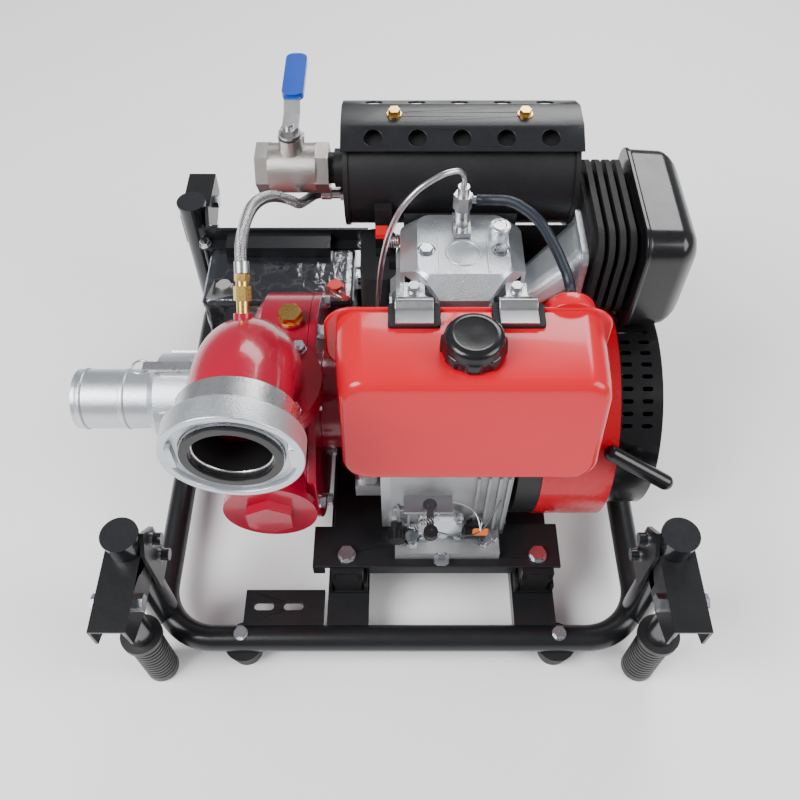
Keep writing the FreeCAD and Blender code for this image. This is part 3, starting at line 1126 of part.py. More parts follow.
def suction():
    """Cam-lock coupler and hose shank on the pump inlet, along -X."""
    face = PUMP_X - 74.2
    adapter = join(ring((face, CRANK_Y, CRANK_Z), -X, 54, 38, 8),
                   ring((face, CRANK_Y, CRANK_Z), -X, 45, 38, 40))
    groove = Part.makeTorus(47, 4.5, Vector(face - 28, CRANK_Y, CRANK_Z), X)
    save("camlock_coupler", adapter.cut(groove))
    x0 = face - 12
    coupler = join(ring((x0, CRANK_Y, CRANK_Z), -X, 57, 45.3, 30),
                   rod((x0 - 30, CRANK_Y, CRANK_Z), -X, 57, 40),
                   cone((x0 - 70, CRANK_Y, CRANK_Z), -X, 57, 40, 12))
    for rib in range(6):
        bar = box(x0 - 62, x0 - 6, CRANK_Y + 52, CRANK_Y + 60.5, CRANK_Z - 7, CRANK_Z + 7)
        coupler = coupler.fuse(turned(bar, (x0, CRANK_Y, CRANK_Z), X, 60 * rib + 30))
    shank = rod((x0 - 60, CRANK_Y, CRANK_Z), -X, 37.4, SHANK_END - 60 + x0)
    coupler = join(coupler, shank)
    coupler = coupler.cut(rod((x0 - 29, CRANK_Y, CRANK_Z), -X, 33, 200))
    arms = []
    for sign in (1, -1):
        z = CRANK_Z + sign * 58
        cheek_z0, cheek_z1 = (z - 6, z + 10) if sign > 0 else (z - 10, z + 6)
        for dy in (-12, 7):
            cheek = box(x0 - 26, x0 - 8, CRANK_Y + dy, CRANK_Y + dy + 5, cheek_z0, cheek_z1)
            coupler = coupler.fuse(cheek)
        pivot_z = CRANK_Z + sign * 61
        slot_z0, slot_z1 = sorted((CRANK_Z + sign * 44, CRANK_Z + sign * 80))
        slot = box(x0 - 27, x0 - 5, CRANK_Y - 7, CRANK_Y + 7, slot_z0, slot_z1)
        coupler = coupler.cut(slot)
        coupler = coupler.cut(rod((x0 - 17, CRANK_Y - 20, pivot_z), Y, 3, 40))
        outer_z = CRANK_Z + sign * 67
        low, high = sorted((CRANK_Z + sign * 62, outer_z))
        arm = join(rod((x0 - 17, CRANK_Y - 6.5, pivot_z), Y, 7.5, 13),
                   box(x0 - 82, x0 - 17, CRANK_Y - 6.5, CRANK_Y + 6.5, low, high))
        eye_z = (low + high) / 2
        arm = cut(arm, rod((x0 - 17, CRANK_Y - 20, pivot_z), Y, 3 + FIT, 40),
                  box(x0 - 80.0, x0 - 73.9, CRANK_Y - 7, CRANK_Y + 7, eye_z - 1.5, eye_z + 1.5))
        pull = Part.makeTorus(9.6, 1.3, Vector(x0 - 85, CRANK_Y, eye_z), Z)
        if sign < 0:
            arm = turned(arm, (x0 - 17, CRANK_Y, pivot_z), Y, -LOWER_ARM_OPEN)
            pull = turned(pull, (x0 - 17, CRANK_Y, pivot_z), Y, -LOWER_ARM_OPEN)
        arms.append((sign, arm, pull))
    pins = [rod((x0 - 17, CRANK_Y - 12, CRANK_Z + sign * 61), Y, 3, 24) for sign in (1, -1)]
    save("camlock_coupler", max(coupler.removeSplitter().Solids, key=lambda solid: solid.Volume))
    save("camlock_coupler", *pins)
    for sign, arm, pull in arms:
        name = "camlock_arm_upper" if sign > 0 else "camlock_arm_lower"
        save(name, arm, pull)
    gasket = ring((face - 40.3, CRANK_Y, CRANK_Z), -X, 45, 34, 0.6)
    save("bearings_and_seals", gasket)


def primer_hose():
    """Braided hose from the exhaust to the top of the discharge elbow, with its fittings."""
    seat = Vector(*FITTING_FOOT)
    way = Vector(*FITTING_AXIS)
    nipple = rod(seat - way * 7.5, way, 6, 22)
    save("pump_fittings", nipple)
    brass = join(hexagon(seat + way * 14.6, way, 15, 14), rod(seat + way * 28, way, 6, 6),
                 hexagon(seat + way * 33, way, 13, 7))
    save("pump_fittings", brass)
    start = seat + way * 40.1
    x0 = MUFFLER_X[0] - 18.2
    route = [tuple(start), tuple(start + way * 34), (NECK_X + 2, -42, 513), (NECK_X + 14, -6, 497),
             (NECK_X + 28, 28, 463), (NECK_X + 34, 54, 435), (NECK_X + 40, 78, 419.5),
             (NECK_X + 52, MUFFLER_Y, STUB_Z), (x0, MUFFLER_Y, STUB_Z)]
    save("primer_hose", route_tube("primer_hose", route, 5.5))


def main():
    outline, torus = base_frame()
    corner_parts(outline, torus)
    handles()
    cradle()
    battery()
    crankcase()
    cylinder_and_head()
    injector_and_pipes()
    crank_train()
    engine_front()
    fuel_tank()
    exhaust()
    air_cleaner()
    fan_and_recoil()
    pump()
    primer_hose()
    write_nodes()


main()
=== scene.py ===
import math

import bmesh
import bpy
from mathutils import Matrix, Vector, noise


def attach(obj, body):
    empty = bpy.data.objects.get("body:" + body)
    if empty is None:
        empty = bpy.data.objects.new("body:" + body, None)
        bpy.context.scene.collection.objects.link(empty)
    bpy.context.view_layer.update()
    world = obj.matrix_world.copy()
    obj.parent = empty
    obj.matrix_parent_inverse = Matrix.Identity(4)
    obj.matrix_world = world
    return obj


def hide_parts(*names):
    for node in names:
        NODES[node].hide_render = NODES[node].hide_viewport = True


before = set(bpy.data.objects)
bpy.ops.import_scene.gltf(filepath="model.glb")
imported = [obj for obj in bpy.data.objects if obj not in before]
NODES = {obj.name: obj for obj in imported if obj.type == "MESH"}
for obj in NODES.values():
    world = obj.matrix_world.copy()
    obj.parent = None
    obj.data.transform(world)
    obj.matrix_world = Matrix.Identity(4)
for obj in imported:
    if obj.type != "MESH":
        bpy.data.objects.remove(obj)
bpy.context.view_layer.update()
SHIFT = 0.036            # the machine's middle, seen from the middle of the base frame
MM = 0.001
SHAFT = (-50, 210)       # crankshaft and pump axis, which runs along x
SHANK_R = 37.4           # suction hose shank
NECK_X = -146            # discharge elbow
OUTLET_Z = 442
OUTLET_BORE = 38.5
CAP = (70, -158)         # middle of the fuel cap
STRAP_X = (14.0, 117.0)  # tank straps
STUB = (-78.2, 90, 419)  # exhaust end of the braided hose
COVER_SCREWS = ((27, 142), (69, 142), (27, 183), (69, 183))  # x and z, front of the crankcase
HOUSE_END = 290          # outer face of the starter housing


def at(x, y, z):
    """Millimetres from the middle of the base frame to metres in the shared frame."""
    return Vector((x * MM + SHIFT, y * MM, z * MM))


# ---------------------------------------------------------------- materials
def shader(name):
    mat = bpy.data.materials.new(name)
    mat.use_nodes = True
    nodes = mat.node_tree.nodes
    return mat, nodes, mat.node_tree.links, nodes["Principled BSDF"]


def mixed(nodes, links, factor, a, b):
    mix = nodes.new("ShaderNodeMix")
    mix.data_type = "RGBA"
    mix.inputs["A"].default_value = (*a, 1)
    mix.inputs["B"].default_value = (*b, 1)
    links.new(factor, mix.inputs["Factor"])
    return mix.outputs["Result"]


def surface(name, color, rough=0.4, metallic=0.0, coat=0.0, mottle=0.12, mottle_scale=14.0,
            grain=0.0, grain_scale=900.0, shine=0.5, rough_swing=0.12, dust=0.0):
    """A finish with patchy tone and gloss, a fine surface grain and a little settled dust."""
    mat, nodes, links, bsdf = shader(name)
    coords = nodes.new("ShaderNodeTexCoord")
    place = coords.outputs["Object"]
    patches = nodes.new("ShaderNodeTexNoise")
    patches.inputs["Scale"].default_value = mottle_scale
    patches.inputs["Detail"].default_value = 5
    links.new(place, patches.inputs["Vector"])
    dark = tuple(c * (1 - mottle) for c in color)
    light = tuple(min(1.0, c * (1 + mottle) + 0.006) for c in color)
    tone = mixed(nodes, links, patches.outputs["Fac"], dark, light)
    if dust > 0:
        normal = nodes.new("ShaderNodeNewGeometry")
        split = nodes.new("ShaderNodeSeparateXYZ")
        links.new(normal.outputs["Normal"], split.inputs["Vector"])
        up = nodes.new("ShaderNodeMapRange")
        up.inputs["From Min"].default_value = 0.35
        up.inputs["From Max"].default_value = 1.0
        up.inputs["To Max"].default_value = dust
        links.new(split.outputs["Z"], up.inputs["Value"])
        specks = nodes.new("ShaderNodeTexNoise")
        specks.inputs["Scale"].default_value = 160.0
        specks.inputs["Detail"].default_value = 3
        links.new(coords.outputs["Object"], specks.inputs["Vector"])
        amount = nodes.new("ShaderNodeMath")
        amount.operation = "MULTIPLY"
        links.new(up.outputs["Result"], amount.inputs[0])
        links.new(specks.outputs["Fac"], amount.inputs[1])
        veil = nodes.new("ShaderNodeMix")
        veil.data_type = "RGBA"
        links.new(amount.outputs["Value"], veil.inputs["Factor"])
        links.new(tone, veil.inputs["A"])
        veil.inputs["B"].default_value = (0.55, 0.53, 0.5, 1)
        tone = veil.outputs["Result"]
    links.new(tone, bsdf.inputs["Base Color"])
    gloss = nodes.new("ShaderNodeMapRange")
    gloss.inputs["To Min"].default_value = max(0.03, rough - rough_swing / 2)
    gloss.inputs["To Max"].default_value = min(1.0, rough + rough_swing / 2)
    fine = nodes.new("ShaderNodeTexNoise")
    fine.inputs["Scale"].default_value = mottle_scale * 5
    fine.inputs["Detail"].default_value = 4
    links.new(place, fine.inputs["Vector"])
    links.new(fine.outputs["Fac"], gloss.inputs["Value"])
    links.new(gloss.outputs["Result"], bsdf.inputs["Roughness"])
    bsdf.inputs["Metallic"].default_value = metallic
    bsdf.inputs["Specular IOR Level"].default_value = shine
    bsdf.inputs["Coat Weight"].default_value = coat
    bsdf.inputs["Coat Roughness"].default_value = 0.06
    if grain > 0:
        pits = nodes.new("ShaderNodeTexNoise")
        pits.inputs["Scale"].default_value = grain_scale
        pits.inputs["Detail"].default_value = 2
        links.new(place, pits.inputs["Vector"])
        bump = nodes.new("ShaderNodeBump")
        bump.inputs["Strength"].default_value = grain
        bump.inputs["Distance"].default_value = 0.0006
        links.new(pits.outputs["Fac"], bump.inputs["Height"])
        links.new(bump.outputs["Normal"], bsdf.inputs["Normal"])
    return mat


FRAME_BLACK = surface("frame_black", (0.006, 0.0065, 0.008), 0.3, 0, 0.06, 0.2, 8, 0.25, 420,
                      0.35, dust=0.008)
POST_BLACK = surface("post_black", (0.008, 0.009, 0.011), 0.2, 0, 0.2, 0.2, 8, 0.12, 300, 0.45, dust=0.015)
RUBBER = surface("rubber_black", (0.009, 0.009, 0.010), 0.6, 0, 0, 0.25, 30, 0.35, 1200, 0.25, dust=0.01)
GRIP = surface("grip_rubber", (0.008, 0.008, 0.009), 0.42, 0, 0, 0.2, 24, 0.3, 1400, 0.4, dust=0.02)
ZINC = surface("zinc_steel", (0.55, 0.57, 0.60), 0.26, 1.0, 0, 0.10, 26, 0.08, 1600, rough_swing=0.06)
ZINC_YELLOW = surface("zinc_yellow", (0.66, 0.44, 0.15), 0.28, 1.0, 0, 0.2, 40, 0.1, 1600)
STEEL = surface("steel_plain", (0.48, 0.48, 0.49), 0.3, 1.0, 0, 0.18, 40, 0.12, 1500)
STEEL_DARK = surface("steel_dark", (0.12, 0.12, 0.13), 0.42, 0.9, 0, 0.2, 40, 0.15, 1200)
CAST_ALU = surface("cast_aluminium", (0.60, 0.63, 0.66), 0.36, 0.9, 0, 0.12, 22, 0.7, 700, dust=0.01)
ALU_FINE = surface("machined_aluminium", (0.64, 0.64, 0.65), 0.28, 1.0, 0, 0.1, 30, 0.2, 1500)
CASE_ALU = surface("case_aluminium", (0.40, 0.41, 0.42), 0.44, 0.8, 0, 0.22, 24, 0.9, 600, dust=0.04)
IRON = surface("cast_iron", (0.03, 0.031, 0.034), 0.5, 0.5, 0, 0.2, 22, 0.6, 700)
TANK_RED = surface("tank_red", (0.60, 0.0003, 0.014), 0.24, 0, 0.3, 0.05, 6, 0.04, 260, 0.25)
FAN_RED = surface("fan_red", (0.52, 0.0003, 0.010), 0.28, 0, 0.25, 0.06, 7, 0.06, 260, 0.25)
PUMP_RED = surface("pump_red", (0.34, 0.0003, 0.022), 0.24, 0, 0.4, 0.12, 9, 0.25, 240, 0.3)
MUFFLER_BLACK = surface("muffler_black", (0.005, 0.005, 0.006), 0.42, 0, 0, 0.25, 12, 0.35, 900,
                        0.35, dust=0.01)
SHIELD_BLACK = surface("shield_black", (0.005, 0.006, 0.008), 0.32, 0, 0.05, 0.25, 10, 0.2, 700,
                       0.35, dust=0.01)
PLASTIC = surface("plastic_black", (0.004, 0.004, 0.005), 0.22, 0, 0.1, 0.15, 10, 0.12, 700, 0.35, dust=0.008)
PLASTIC_MATT = surface("plastic_matt", (0.006, 0.006, 0.007), 0.38, 0, 0, 0.2, 14, 0.4, 1100,
                       0.35, dust=0.012)
STAINLESS = surface("stainless_cast", (0.50, 0.48, 0.45), 0.32, 1.0, 0, 0.15, 30, 0.6, 900)
BRASS = surface("brass", (0.68, 0.44, 0.13), 0.26, 1.0, 0, 0.18, 50, 0.15, 1300)
HOSE = surface("fuel_hose", (0.006, 0.011, 0.020), 0.4, 0, 0, 0.2, 40, 0.3, 1200, 0.4)
VINYL_BLUE = surface("vinyl_blue", (0.001, 0.05, 0.36), 0.3, 0, 0.1, 0.12, 30, 0.15, 900, 0.4)
LEVER_RED = surface("lever_red", (0.60, 0.006, 0.008), 0.34, 0, 0.1, 0.1, 30, 0.15, 900, 0.4)
ORANGE = surface("tag_orange", (0.85, 0.16, 0.005), 0.4, 0, 0.1, 0.1, 30, 0.1, 900)
BATTERY = surface("battery_case", (0.022, 0.024, 0.030), 0.36, 0, 0, 0.2, 20, 0.3, 900)
TERMINAL_GREY = surface("terminal_grey", (0.42, 0.41, 0.40), 0.4, 0.6, 0, 0.15, 60, 0.2, 1200)
TERMINAL_RED = surface("terminal_red", (0.55, 0.01, 0.01), 0.36, 0, 0.2, 0.1, 40, 0.1, 900)
PAPER = surface("filter_paper", (0.72, 0.62, 0.42), 0.8, 0, 0, 0.1, 40, 0.3, 500)
SEAL_BLACK = surface("seal_black", (0.008, 0.008, 0.009), 0.4, 0, 0.1, 0.1, 40, 0.1, 900, 0.4)


# ---------------------------------------------------------------- fixed CAD nodes
def dress(name, main, rules=(), bevel=0.7):
    """Materials by place on a fixed node, with softened edges; rules are (test, material)."""
    obj = NODES[name]
    mesh = obj.data
    mesh.materials.clear()
    mesh.materials.append(main)
    for _, mat in rules:
        mesh.materials.append(mat)
    for polygon in mesh.polygons:
        polygon.material_index = 0
        p = polygon.center
        x, y, z = (p.x - SHIFT) / MM, p.y / MM, p.z / MM
        for index, (test, _) in enumerate(rules):
            if test(x, y, z):
                polygon.material_index = index + 1
                break
        polygon.use_smooth = True
    soften(obj, bevel)


def soften(obj, bevel):
    join = obj.modifiers.new("weld", "WELD")
    join.merge_threshold = 0.00001
    if bevel > 0:
        edge = obj.modifiers.new("bevel", "BEVEL")
        edge.width = bevel * MM
        edge.segments = 2
        edge.limit_method = "ANGLE"
        edge.angle_limit = math.radians(32)
        edge.use_clamp_overlap = True
        edge.harden_normals = False
    smooth = obj.modifiers.new("normals", "WEIGHTED_NORMAL")
    smooth.keep_sharp = True
    smooth.weight = 80


dress("base_frame_tubes", FRAME_BLACK)
dress("corner_posts", POST_BLACK)
dress("handle_brackets", FRAME_BLACK)
dress("rubber_feet", RUBBER)
dress("fasteners", ZINC, [
    (lambda x, y, z: 480 < z and 60 < y < 120, ZINC_YELLOW),
    (lambda x, y, z: 262 < abs(x) < 272.6 and abs(y) > 200 and z > 150, POST_BLACK),
], 0.3)
for end in ("front", "rear"):
    for side in ("left", "right"):
        dress("carrying_handle_" + end + "_" + side, POST_BLACK,
              [(lambda x, y, z: z < 116.5 and math.hypot(abs(x) - 300, abs(y) - 318) > 16.3, GRIP)])
dress("cradle_rails", FRAME_BLACK)
dress("isolators", FRAME_BLACK, [(lambda x, y, z: 59.2 < z < 95 and abs(x - 51.5) < 136.4, RUBBER)])
dress("engine_base_plate", FRAME_BLACK)
dress("battery", BATTERY, [
    (lambda x, y, z: z > 224 and x < -200 and 100 < y < 134, TERMINAL_GREY),
    (lambda x, y, z: z > 224 and x > -110 and 100 < y < 134, TERMINAL_RED),
])
dress("battery_tray", FRAME_BLACK, [
    (lambda x, y, z: 235.9 < z < 244 and math.hypot(min(abs(x + 272.5), abs(x + 52)), y - 197) < 9, ZINC),
])
dress("crankcase", CASE_ALU, (), 1.6)
dress("crankcase_covers", CAST_ALU, [(lambda x, y, z: y < -190 and z > 190, ZINC)], 1.0)
dress("bearings_and_seals", SEAL_BLACK)
dress("cylinder_and_guides", IRON, (), 0.3)
dress("cylinder_head", CAST_ALU, (), 1.6)
dress("rocker_cover", CAST_ALU, (), 3.0)
dress("piston", ALU_FINE)
dress("connecting_rod", STEEL_DARK)
dress("valves", STEEL)
dress("fuel_injection", STEEL)
dress("injection_pipe", STEEL, (), 0)
dress("return_hose", HOSE, (), 0)
dress("crankshaft", STEEL)
dress("camshaft", STEEL)
dress("flywheel", IRON)
dress("impeller", BRASS)
dress("dipstick", PLASTIC_MATT)
dress("oil_filler_plug", PLASTIC_MATT)
dress("speed_lever", STEEL_DARK, [(lambda x, y, z: y < -233, PLASTIC_MATT)])
dress("decompression_lever", LEVER_RED)
dress("fuel_tank", TANK_RED, (), 1.6)
dress("fuel_cap", PLASTIC, (), 1.4)
dress("tank_straps", STEEL, [(lambda x, y, z: z < 439.9 and y < -100, RUBBER)], 0.5)
dress("muffler", MUFFLER_BLACK, [(lambda x, y, z: x < -60 and z < 430, STEEL)], 1.0)
dress("heat_shield", SHIELD_BLACK, (), 0.6)
dress("ball_valve_body", STAINLESS, (), 1.2)
dress("valve_lever", STEEL, [(lambda x, y, z: y > 139 and z > 505, VINYL_BLUE)], 0.8)
dress("intake_horn", CAST_ALU, (), 1.2)
dress("air_cleaner_bellows", RUBBER, (), 1.2)
dress("air_cleaner_cover", PLASTIC, (), 3.0)
dress("air_filter_element", PAPER)
dress("fan_shroud", FAN_RED, [(lambda x, y, z: x < 160.1, PLASTIC_MATT)], 1.5)
dress("recoil_housing", PLASTIC, (), 0.8)
dress("recoil_pulley", PLASTIC_MATT)
dress("recoil_handle", PLASTIC, (), 1.0)
dress("starter_motor", FRAME_BLACK)
dress("pump_volute", PUMP_RED, (), 1.8)
dress("pump_back_cover", PUMP_RED, (), 1.2)
dress("discharge_elbow", PUMP_RED, [
    (lambda x, y, z: y < -233 and math.hypot(x - NECK_X, z - OUTLET_Z) < OUTLET_BORE, SEAL_BLACK),
    (lambda x, y, z: y < -233, ALU_FINE),
], 2.0)
dress("check_flap", BRASS)
dress("discharge_coupling", CAST_ALU, (), 1.4)
dress("camlock_coupler", CAST_ALU, (), 1.2)
dress("camlock_arm_upper", ALU_FINE)
dress("camlock_arm_lower", ALU_FINE)
dress("primer_hose", STEEL, (), 0)
dress("pump_fittings", BRASS, (), 0.4)


# ---------------------------------------------------------------- mesh helpers
def piece(name, verts, faces, material, replaces=(), body="machine", bevel=0.0):
    """A visible mesh; verts are in millimetres from the middle of the base frame."""
    mesh = bpy.data.meshes.new(name)
    mesh.from_pydata([at(*v) for v in verts], [], faces)
    mesh.validate()
    mesh.materials.append(material)
    obj = bpy.data.objects.new(name, mesh)
    bpy.context.scene.collection.objects.link(obj)
    work = bmesh.new()
    work.from_mesh(mesh)
    bmesh.ops.recalc_face_normals(work, faces=work.faces)
    work.to_mesh(mesh)
    work.free()
    for polygon in mesh.polygons:
        polygon.use_smooth = True
    if bevel:
        edge = obj.modifiers.new("bevel", "BEVEL")
        edge.width = bevel * MM
        edge.segments = 3
        edge.limit_method = "ANGLE"
        edge.angle_limit = math.radians(30)
        edge.use_clamp_overlap = True
    normals = obj.modifiers.new("normals", "WEIGHTED_NORMAL")
    normals.keep_sharp = True
    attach(obj, body)
    if replaces:
        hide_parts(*replaces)
    return obj


def lofted(rings, closed_ends=True, loop=False):
    """Vertices and faces through rings of equal length; loop joins the last to the first."""
    count = len(rings[0])
    verts = [point for ring in rings for point in ring]
    faces = []
    for level in range(len(rings) if loop else len(rings) - 1):
        low = level * count
        high = (level + 1) % len(rings) * count
        for step in range(count):
            ahead = (step + 1) % count
            faces.append((low + step, low + ahead, high + ahead, high + step))
    if closed_ends:
        faces.append(tuple(reversed(range(count))))
        faces.append(tuple(range((len(rings) - 1) * count, len(rings) * count)))
    return verts, faces


def rounded(a0, a1, b0, b1, radius, steps=8):
    """Points round a rounded rectangle."""
    points = []
    for ca, cb, start in ((a1 - radius, b0 + radius, -90), (a1 - radius, b1 - radius, 0),
                          (a0 + radius, b1 - radius, 90), (a0 + radius, b0 + radius, 180)):
        for step in range(steps + 1):
            angle = math.radians(start + 90 * step / steps)
            points.append((ca + radius * math.cos(angle), cb + radius * math.sin(angle)))
    return points


def merged(parts):
    verts, faces = [], []
    for part_verts, part_faces in parts:
        base = len(verts)
        verts.extend(part_verts)
        faces.extend(tuple(base + index for index in face) for face in part_faces)
    return verts, faces


def turned_profile(profile, start, axis, segments=48, hollow=False):
    """(along, radius) pairs turned about an axis: a capped solid, or a hollow ring."""
    axis = Vector(axis).normalized()
    side = axis.orthogonal().normalized()
    other = axis.cross(side)
    rings = []
    for along, radius in profile:
        ring = []
        for step in range(segments):
            angle = 2 * math.pi * step / segments
            point = Vector(start) + axis * along + radius * (
                side * math.cos(angle) + other * math.sin(angle))
            ring.append(tuple(point))
        rings.append(ring)
    return lofted(rings, not hollow, hollow)


def tube_curve(name, points, radius, material, body="machine", replaces=(), poly=False, sides=4):
    """A round cord through given points, in millimetres."""
    curve = bpy.data.curves.new(name, "CURVE")
    curve.dimensions = "3D"
    curve.bevel_depth = radius * MM
    curve.bevel_resolution = sides
    curve.resolution_u = 10
    curve.use_fill_caps = True
    groups = points if isinstance(points[0], list) else [points]
    for group in groups:
        spline = curve.splines.new("POLY" if poly else "NURBS")
        spline.points.add(len(group) - 1)
        for slot, point in zip(spline.points, group):
            slot.co = (*at(*point), 1)
        if not poly:
            spline.order_u = 3
            spline.use_endpoint_u = True
    obj = bpy.data.objects.new(name, curve)
    bpy.context.scene.collection.objects.link(obj)
    curve.materials.append(material)
    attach(obj, body)
    if replaces:
        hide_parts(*replaces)
    return obj


def along_route(points, steps):
    """Places, directions and a steady sideways frame along a smooth route."""
    dense = []
    count = len(points)
    for index in range(count - 1):
        p0 = Vector(points[max(0, index - 1)])
        p1 = Vector(points[index])
        p2 = Vector(points[index + 1])
        p3 = Vector(points[min(count - 1, index + 2)])
        for step in range(steps):
            t = step / steps
            dense.append(0.5 * ((2 * p1) + (p2 - p0) * t + (2 * p0 - 5 * p1 + 4 * p2 - p3) * t**2
                                + (3 * p1 - p0 - 3 * p2 + p3) * t**3))
    dense.append(Vector(points[-1]))
    side = (dense[1] - dense[0]).orthogonal().normalized()
    frames = []
    length = 0.0
    for index, point in enumerate(dense):
        ahead = dense[min(index + 1, len(dense) - 1)] - dense[max(index - 1, 0)]
        ahead.normalize()
        side = (side - ahead * side.dot(ahead)).normalized()
        if index:
            length += (point - dense[index - 1]).length
        frames.append((point, ahead, side, ahead.cross(side), length))
    return frames


def helix(frames, radius, pitch, phase, turn=1.0):
    strand = []
    for point, _, side, other, length in frames:
        angle = turn * 2 * math.pi * length / pitch + phase
        strand.append(tuple(point + radius * (side * math.cos(angle) + other * math.sin(angle))))
    return strand


# ---------------------------------------------------------------- fuel tank
def tank_front(z):
    """The front face leans back towards its top edge."""
    return -201.0 - (440 - z) * 25 / 128


def tank():
    rings = []
    for depth, x0, x1, z0, z1, radius in (
            (0.0, -65, 207, 347, 434, 25), (0.04, -65.5, 207.5, 343, 436, 27),
            (0.45, -64, 206, 331, 438.6, 27), (0.80, -60.5, 203.5, 315, 439.6, 26)):
        rings.append([(a, -102 + depth * (tank_front(b) + 102), b)
                      for a, b in rounded(x0, x1, z0, z1, radius, 12)])
    for step in range(11):
        angle = math.radians(90 * step / 10)
        inset = 9 * (1 - math.cos(angle))
        back = 9 * (1 - math.sin(angle))
        rings.append([(a, tank_front(b) + back, b) for a, b in rounded(
            -58.5 + inset, 201.5 - inset, 309 + inset, 439.6 - inset, 25 - inset * 0.5, 12)])
    for inset in (14, 24, 40):
        rings.append([(a, tank_front(b) - 0.4, b) for a, b in rounded(
            -58.5 + inset, 201.5 - inset, 309 + inset, 439.6 - inset, max(8, 24 - inset * 0.5), 12)])
    body = lofted(rings)
    rim_rings = []
    for y, grow in ((-105.4, -1.4), (-105.4, 0), (-104.6, 0.9), (-103.5, 1.2), (-102.4, 0.9),
                    (-101.6, 0), (-101.6, -1.4)):
        rim_rings.append([(a, y, b) for a, b in rounded(-77 - grow, 216 + grow, 344 - grow,
                                                       437.6 + grow, 30, 12)])
    rim = lofted(rim_rings)
    hump = turned_profile([(0, 24), (0, 27), (13, 27), (17, 24.5), (19, 19), (19.6, 10), (19.6, 0.1)],
                          (172, -104, 420), (0, 1, 0))
    neck = turned_profile([(0, 33), (1.4, 31), (2.2, 27), (4, 23), (6, 22)], (*CAP, 437.4), (0, 0, 1))
    verts, faces = merged([body, rim, hump, neck])
    piece("tank_shell", verts, faces, TANK_RED, ["fuel_tank"], bevel=0.0)
    parts = []
    for x in STRAP_X:
        parts.append(lofted([[(a, b, z) for a, b in rounded(x - 26, x + 26, -130, -99, 4, 4)]
                             for z in (434, 441.6)]))
    verts, faces = merged(parts)
    piece("strap_pads", verts, faces, RUBBER, bevel=1.2)
    # Bright strips bent over the rim of the tank, each with a tab for its bolt.
    profile = [(-129, 441.8), (-113, 441.8), (-109, 443.4), (-106.5, 446.0), (-103, 447.2),
               (-99.5, 446.4), (-97, 444.2), (-94.5, 441.2), (-91, 440.1), (-73, 440.1)]
    parts = []
    for x in STRAP_X:
        rings = []
        for y, z in profile:
            half = 19 if y < -96 else 19 - (y + 96) * 1.6 if y < -91 else 11
            rings.append([(x - half, y, z), (x + half, y, z), (x + half, y, z + 2.7), (x - half, y, z + 2.7)])
        parts.append(lofted(rings))
    verts, faces = merged(parts)
    piece("strap_plates", verts, faces, STEEL, ["tank_straps"], bevel=0.6)


tank()


def fuel_cap():
    rings = []
    segments = 128
    for z, radius, lug in ((442.2, 27.5, 0), (442.2, 30.4, 1), (443.0, 30.9, 1), (452.0, 30.2, 1),
                           (453.0, 29.9, 0.5), (453.4, 29.7, 0), (458.0, 29.0, 0), (460.2, 28.2, 0),
                           (462.2, 26.6, 0), (463.4, 24.2, 0), (463.8, 21.4, 0), (463.8, 20.0, 0),
                           (463.2, 18.8, 0), (463.1, 8.0, 0), (463.2, 0.2, 0)):
        ring = []
        for step in range(segments):
            angle = 2 * math.pi * step / segments
            bulge = 0.5 + 0.5 * math.tanh(7.0 * (math.cos(8 * angle + 0.4) + 0.25))
            r = radius + 1.6 * lug * bulge
            ring.append((CAP[0] + r * math.cos(angle), CAP[1] + r * math.sin(angle), z))
        rings.append(ring)
    verts, faces = lofted(rings)
    piece("fuel_cap_shell", verts, faces, PLASTIC, ["fuel_cap"], "fuel_cap_body")


fuel_cap()


# ---------------------------------------------------------------- rocker cover
def rocker_details():
    disc = turned_profile([(0, 19), (0.9, 19), (1.5, 18.4), (1.5, 16.2), (0.5, 15.8), (0.5, 0.1)],
                          (65, -44, 455.7), (0, 0, 1))
    ribs = []
    for x in (40.0, 90.0):
        ribs.append(lofted([[(a, b, z) for a, b in rounded(x - 1.3, x + 1.3, -72, -20, 1.2, 3)]
                            for z in (455.5, 457.1)]))
    verts, faces = merged([disc] + ribs)
    piece("rocker_marks", verts, faces, CAST_ALU, bevel=0.3)
    verts, faces = turned_profile([(0, 10), (1, 10.6), (3, 10.6), (4, 8.6), (9, 8.6), (10, 10.8), (14, 11.2),
                                   (15.6, 10), (15.9, 7), (15.2, 6.4), (15.2, 0.1)],
                                  (103, -16, 452), (0, 0, 1))
    piece("breather_cap", verts, faces, ALU_FINE, bevel=0.3)


rocker_details()


# ---------------------------------------------------------------- air cleaner cover
def air_cover():
    rings = []
    for x, inset in ((246.6, 5), (246.6, 0.5), (247.6, -0.6), (250.6, -0.6), (251.6, 0.6), (254, 1.0),
                     (284, 2.4), (289, 3.4), (295, 7), (301, 13), (304.6, 19), (305.8, 25), (305.9, 40)):
        rings.append([(x, a, b) for a, b in rounded(-59 + inset, 111 - inset, 343 + inset,
                                                   479 - inset, max(6, 26 - inset * 0.5), 8)])
    verts, faces = lofted(rings)
    piece("air_cover_shell", verts, faces, PLASTIC, ["air_cleaner_cover"], bevel=0.5)


air_cover()


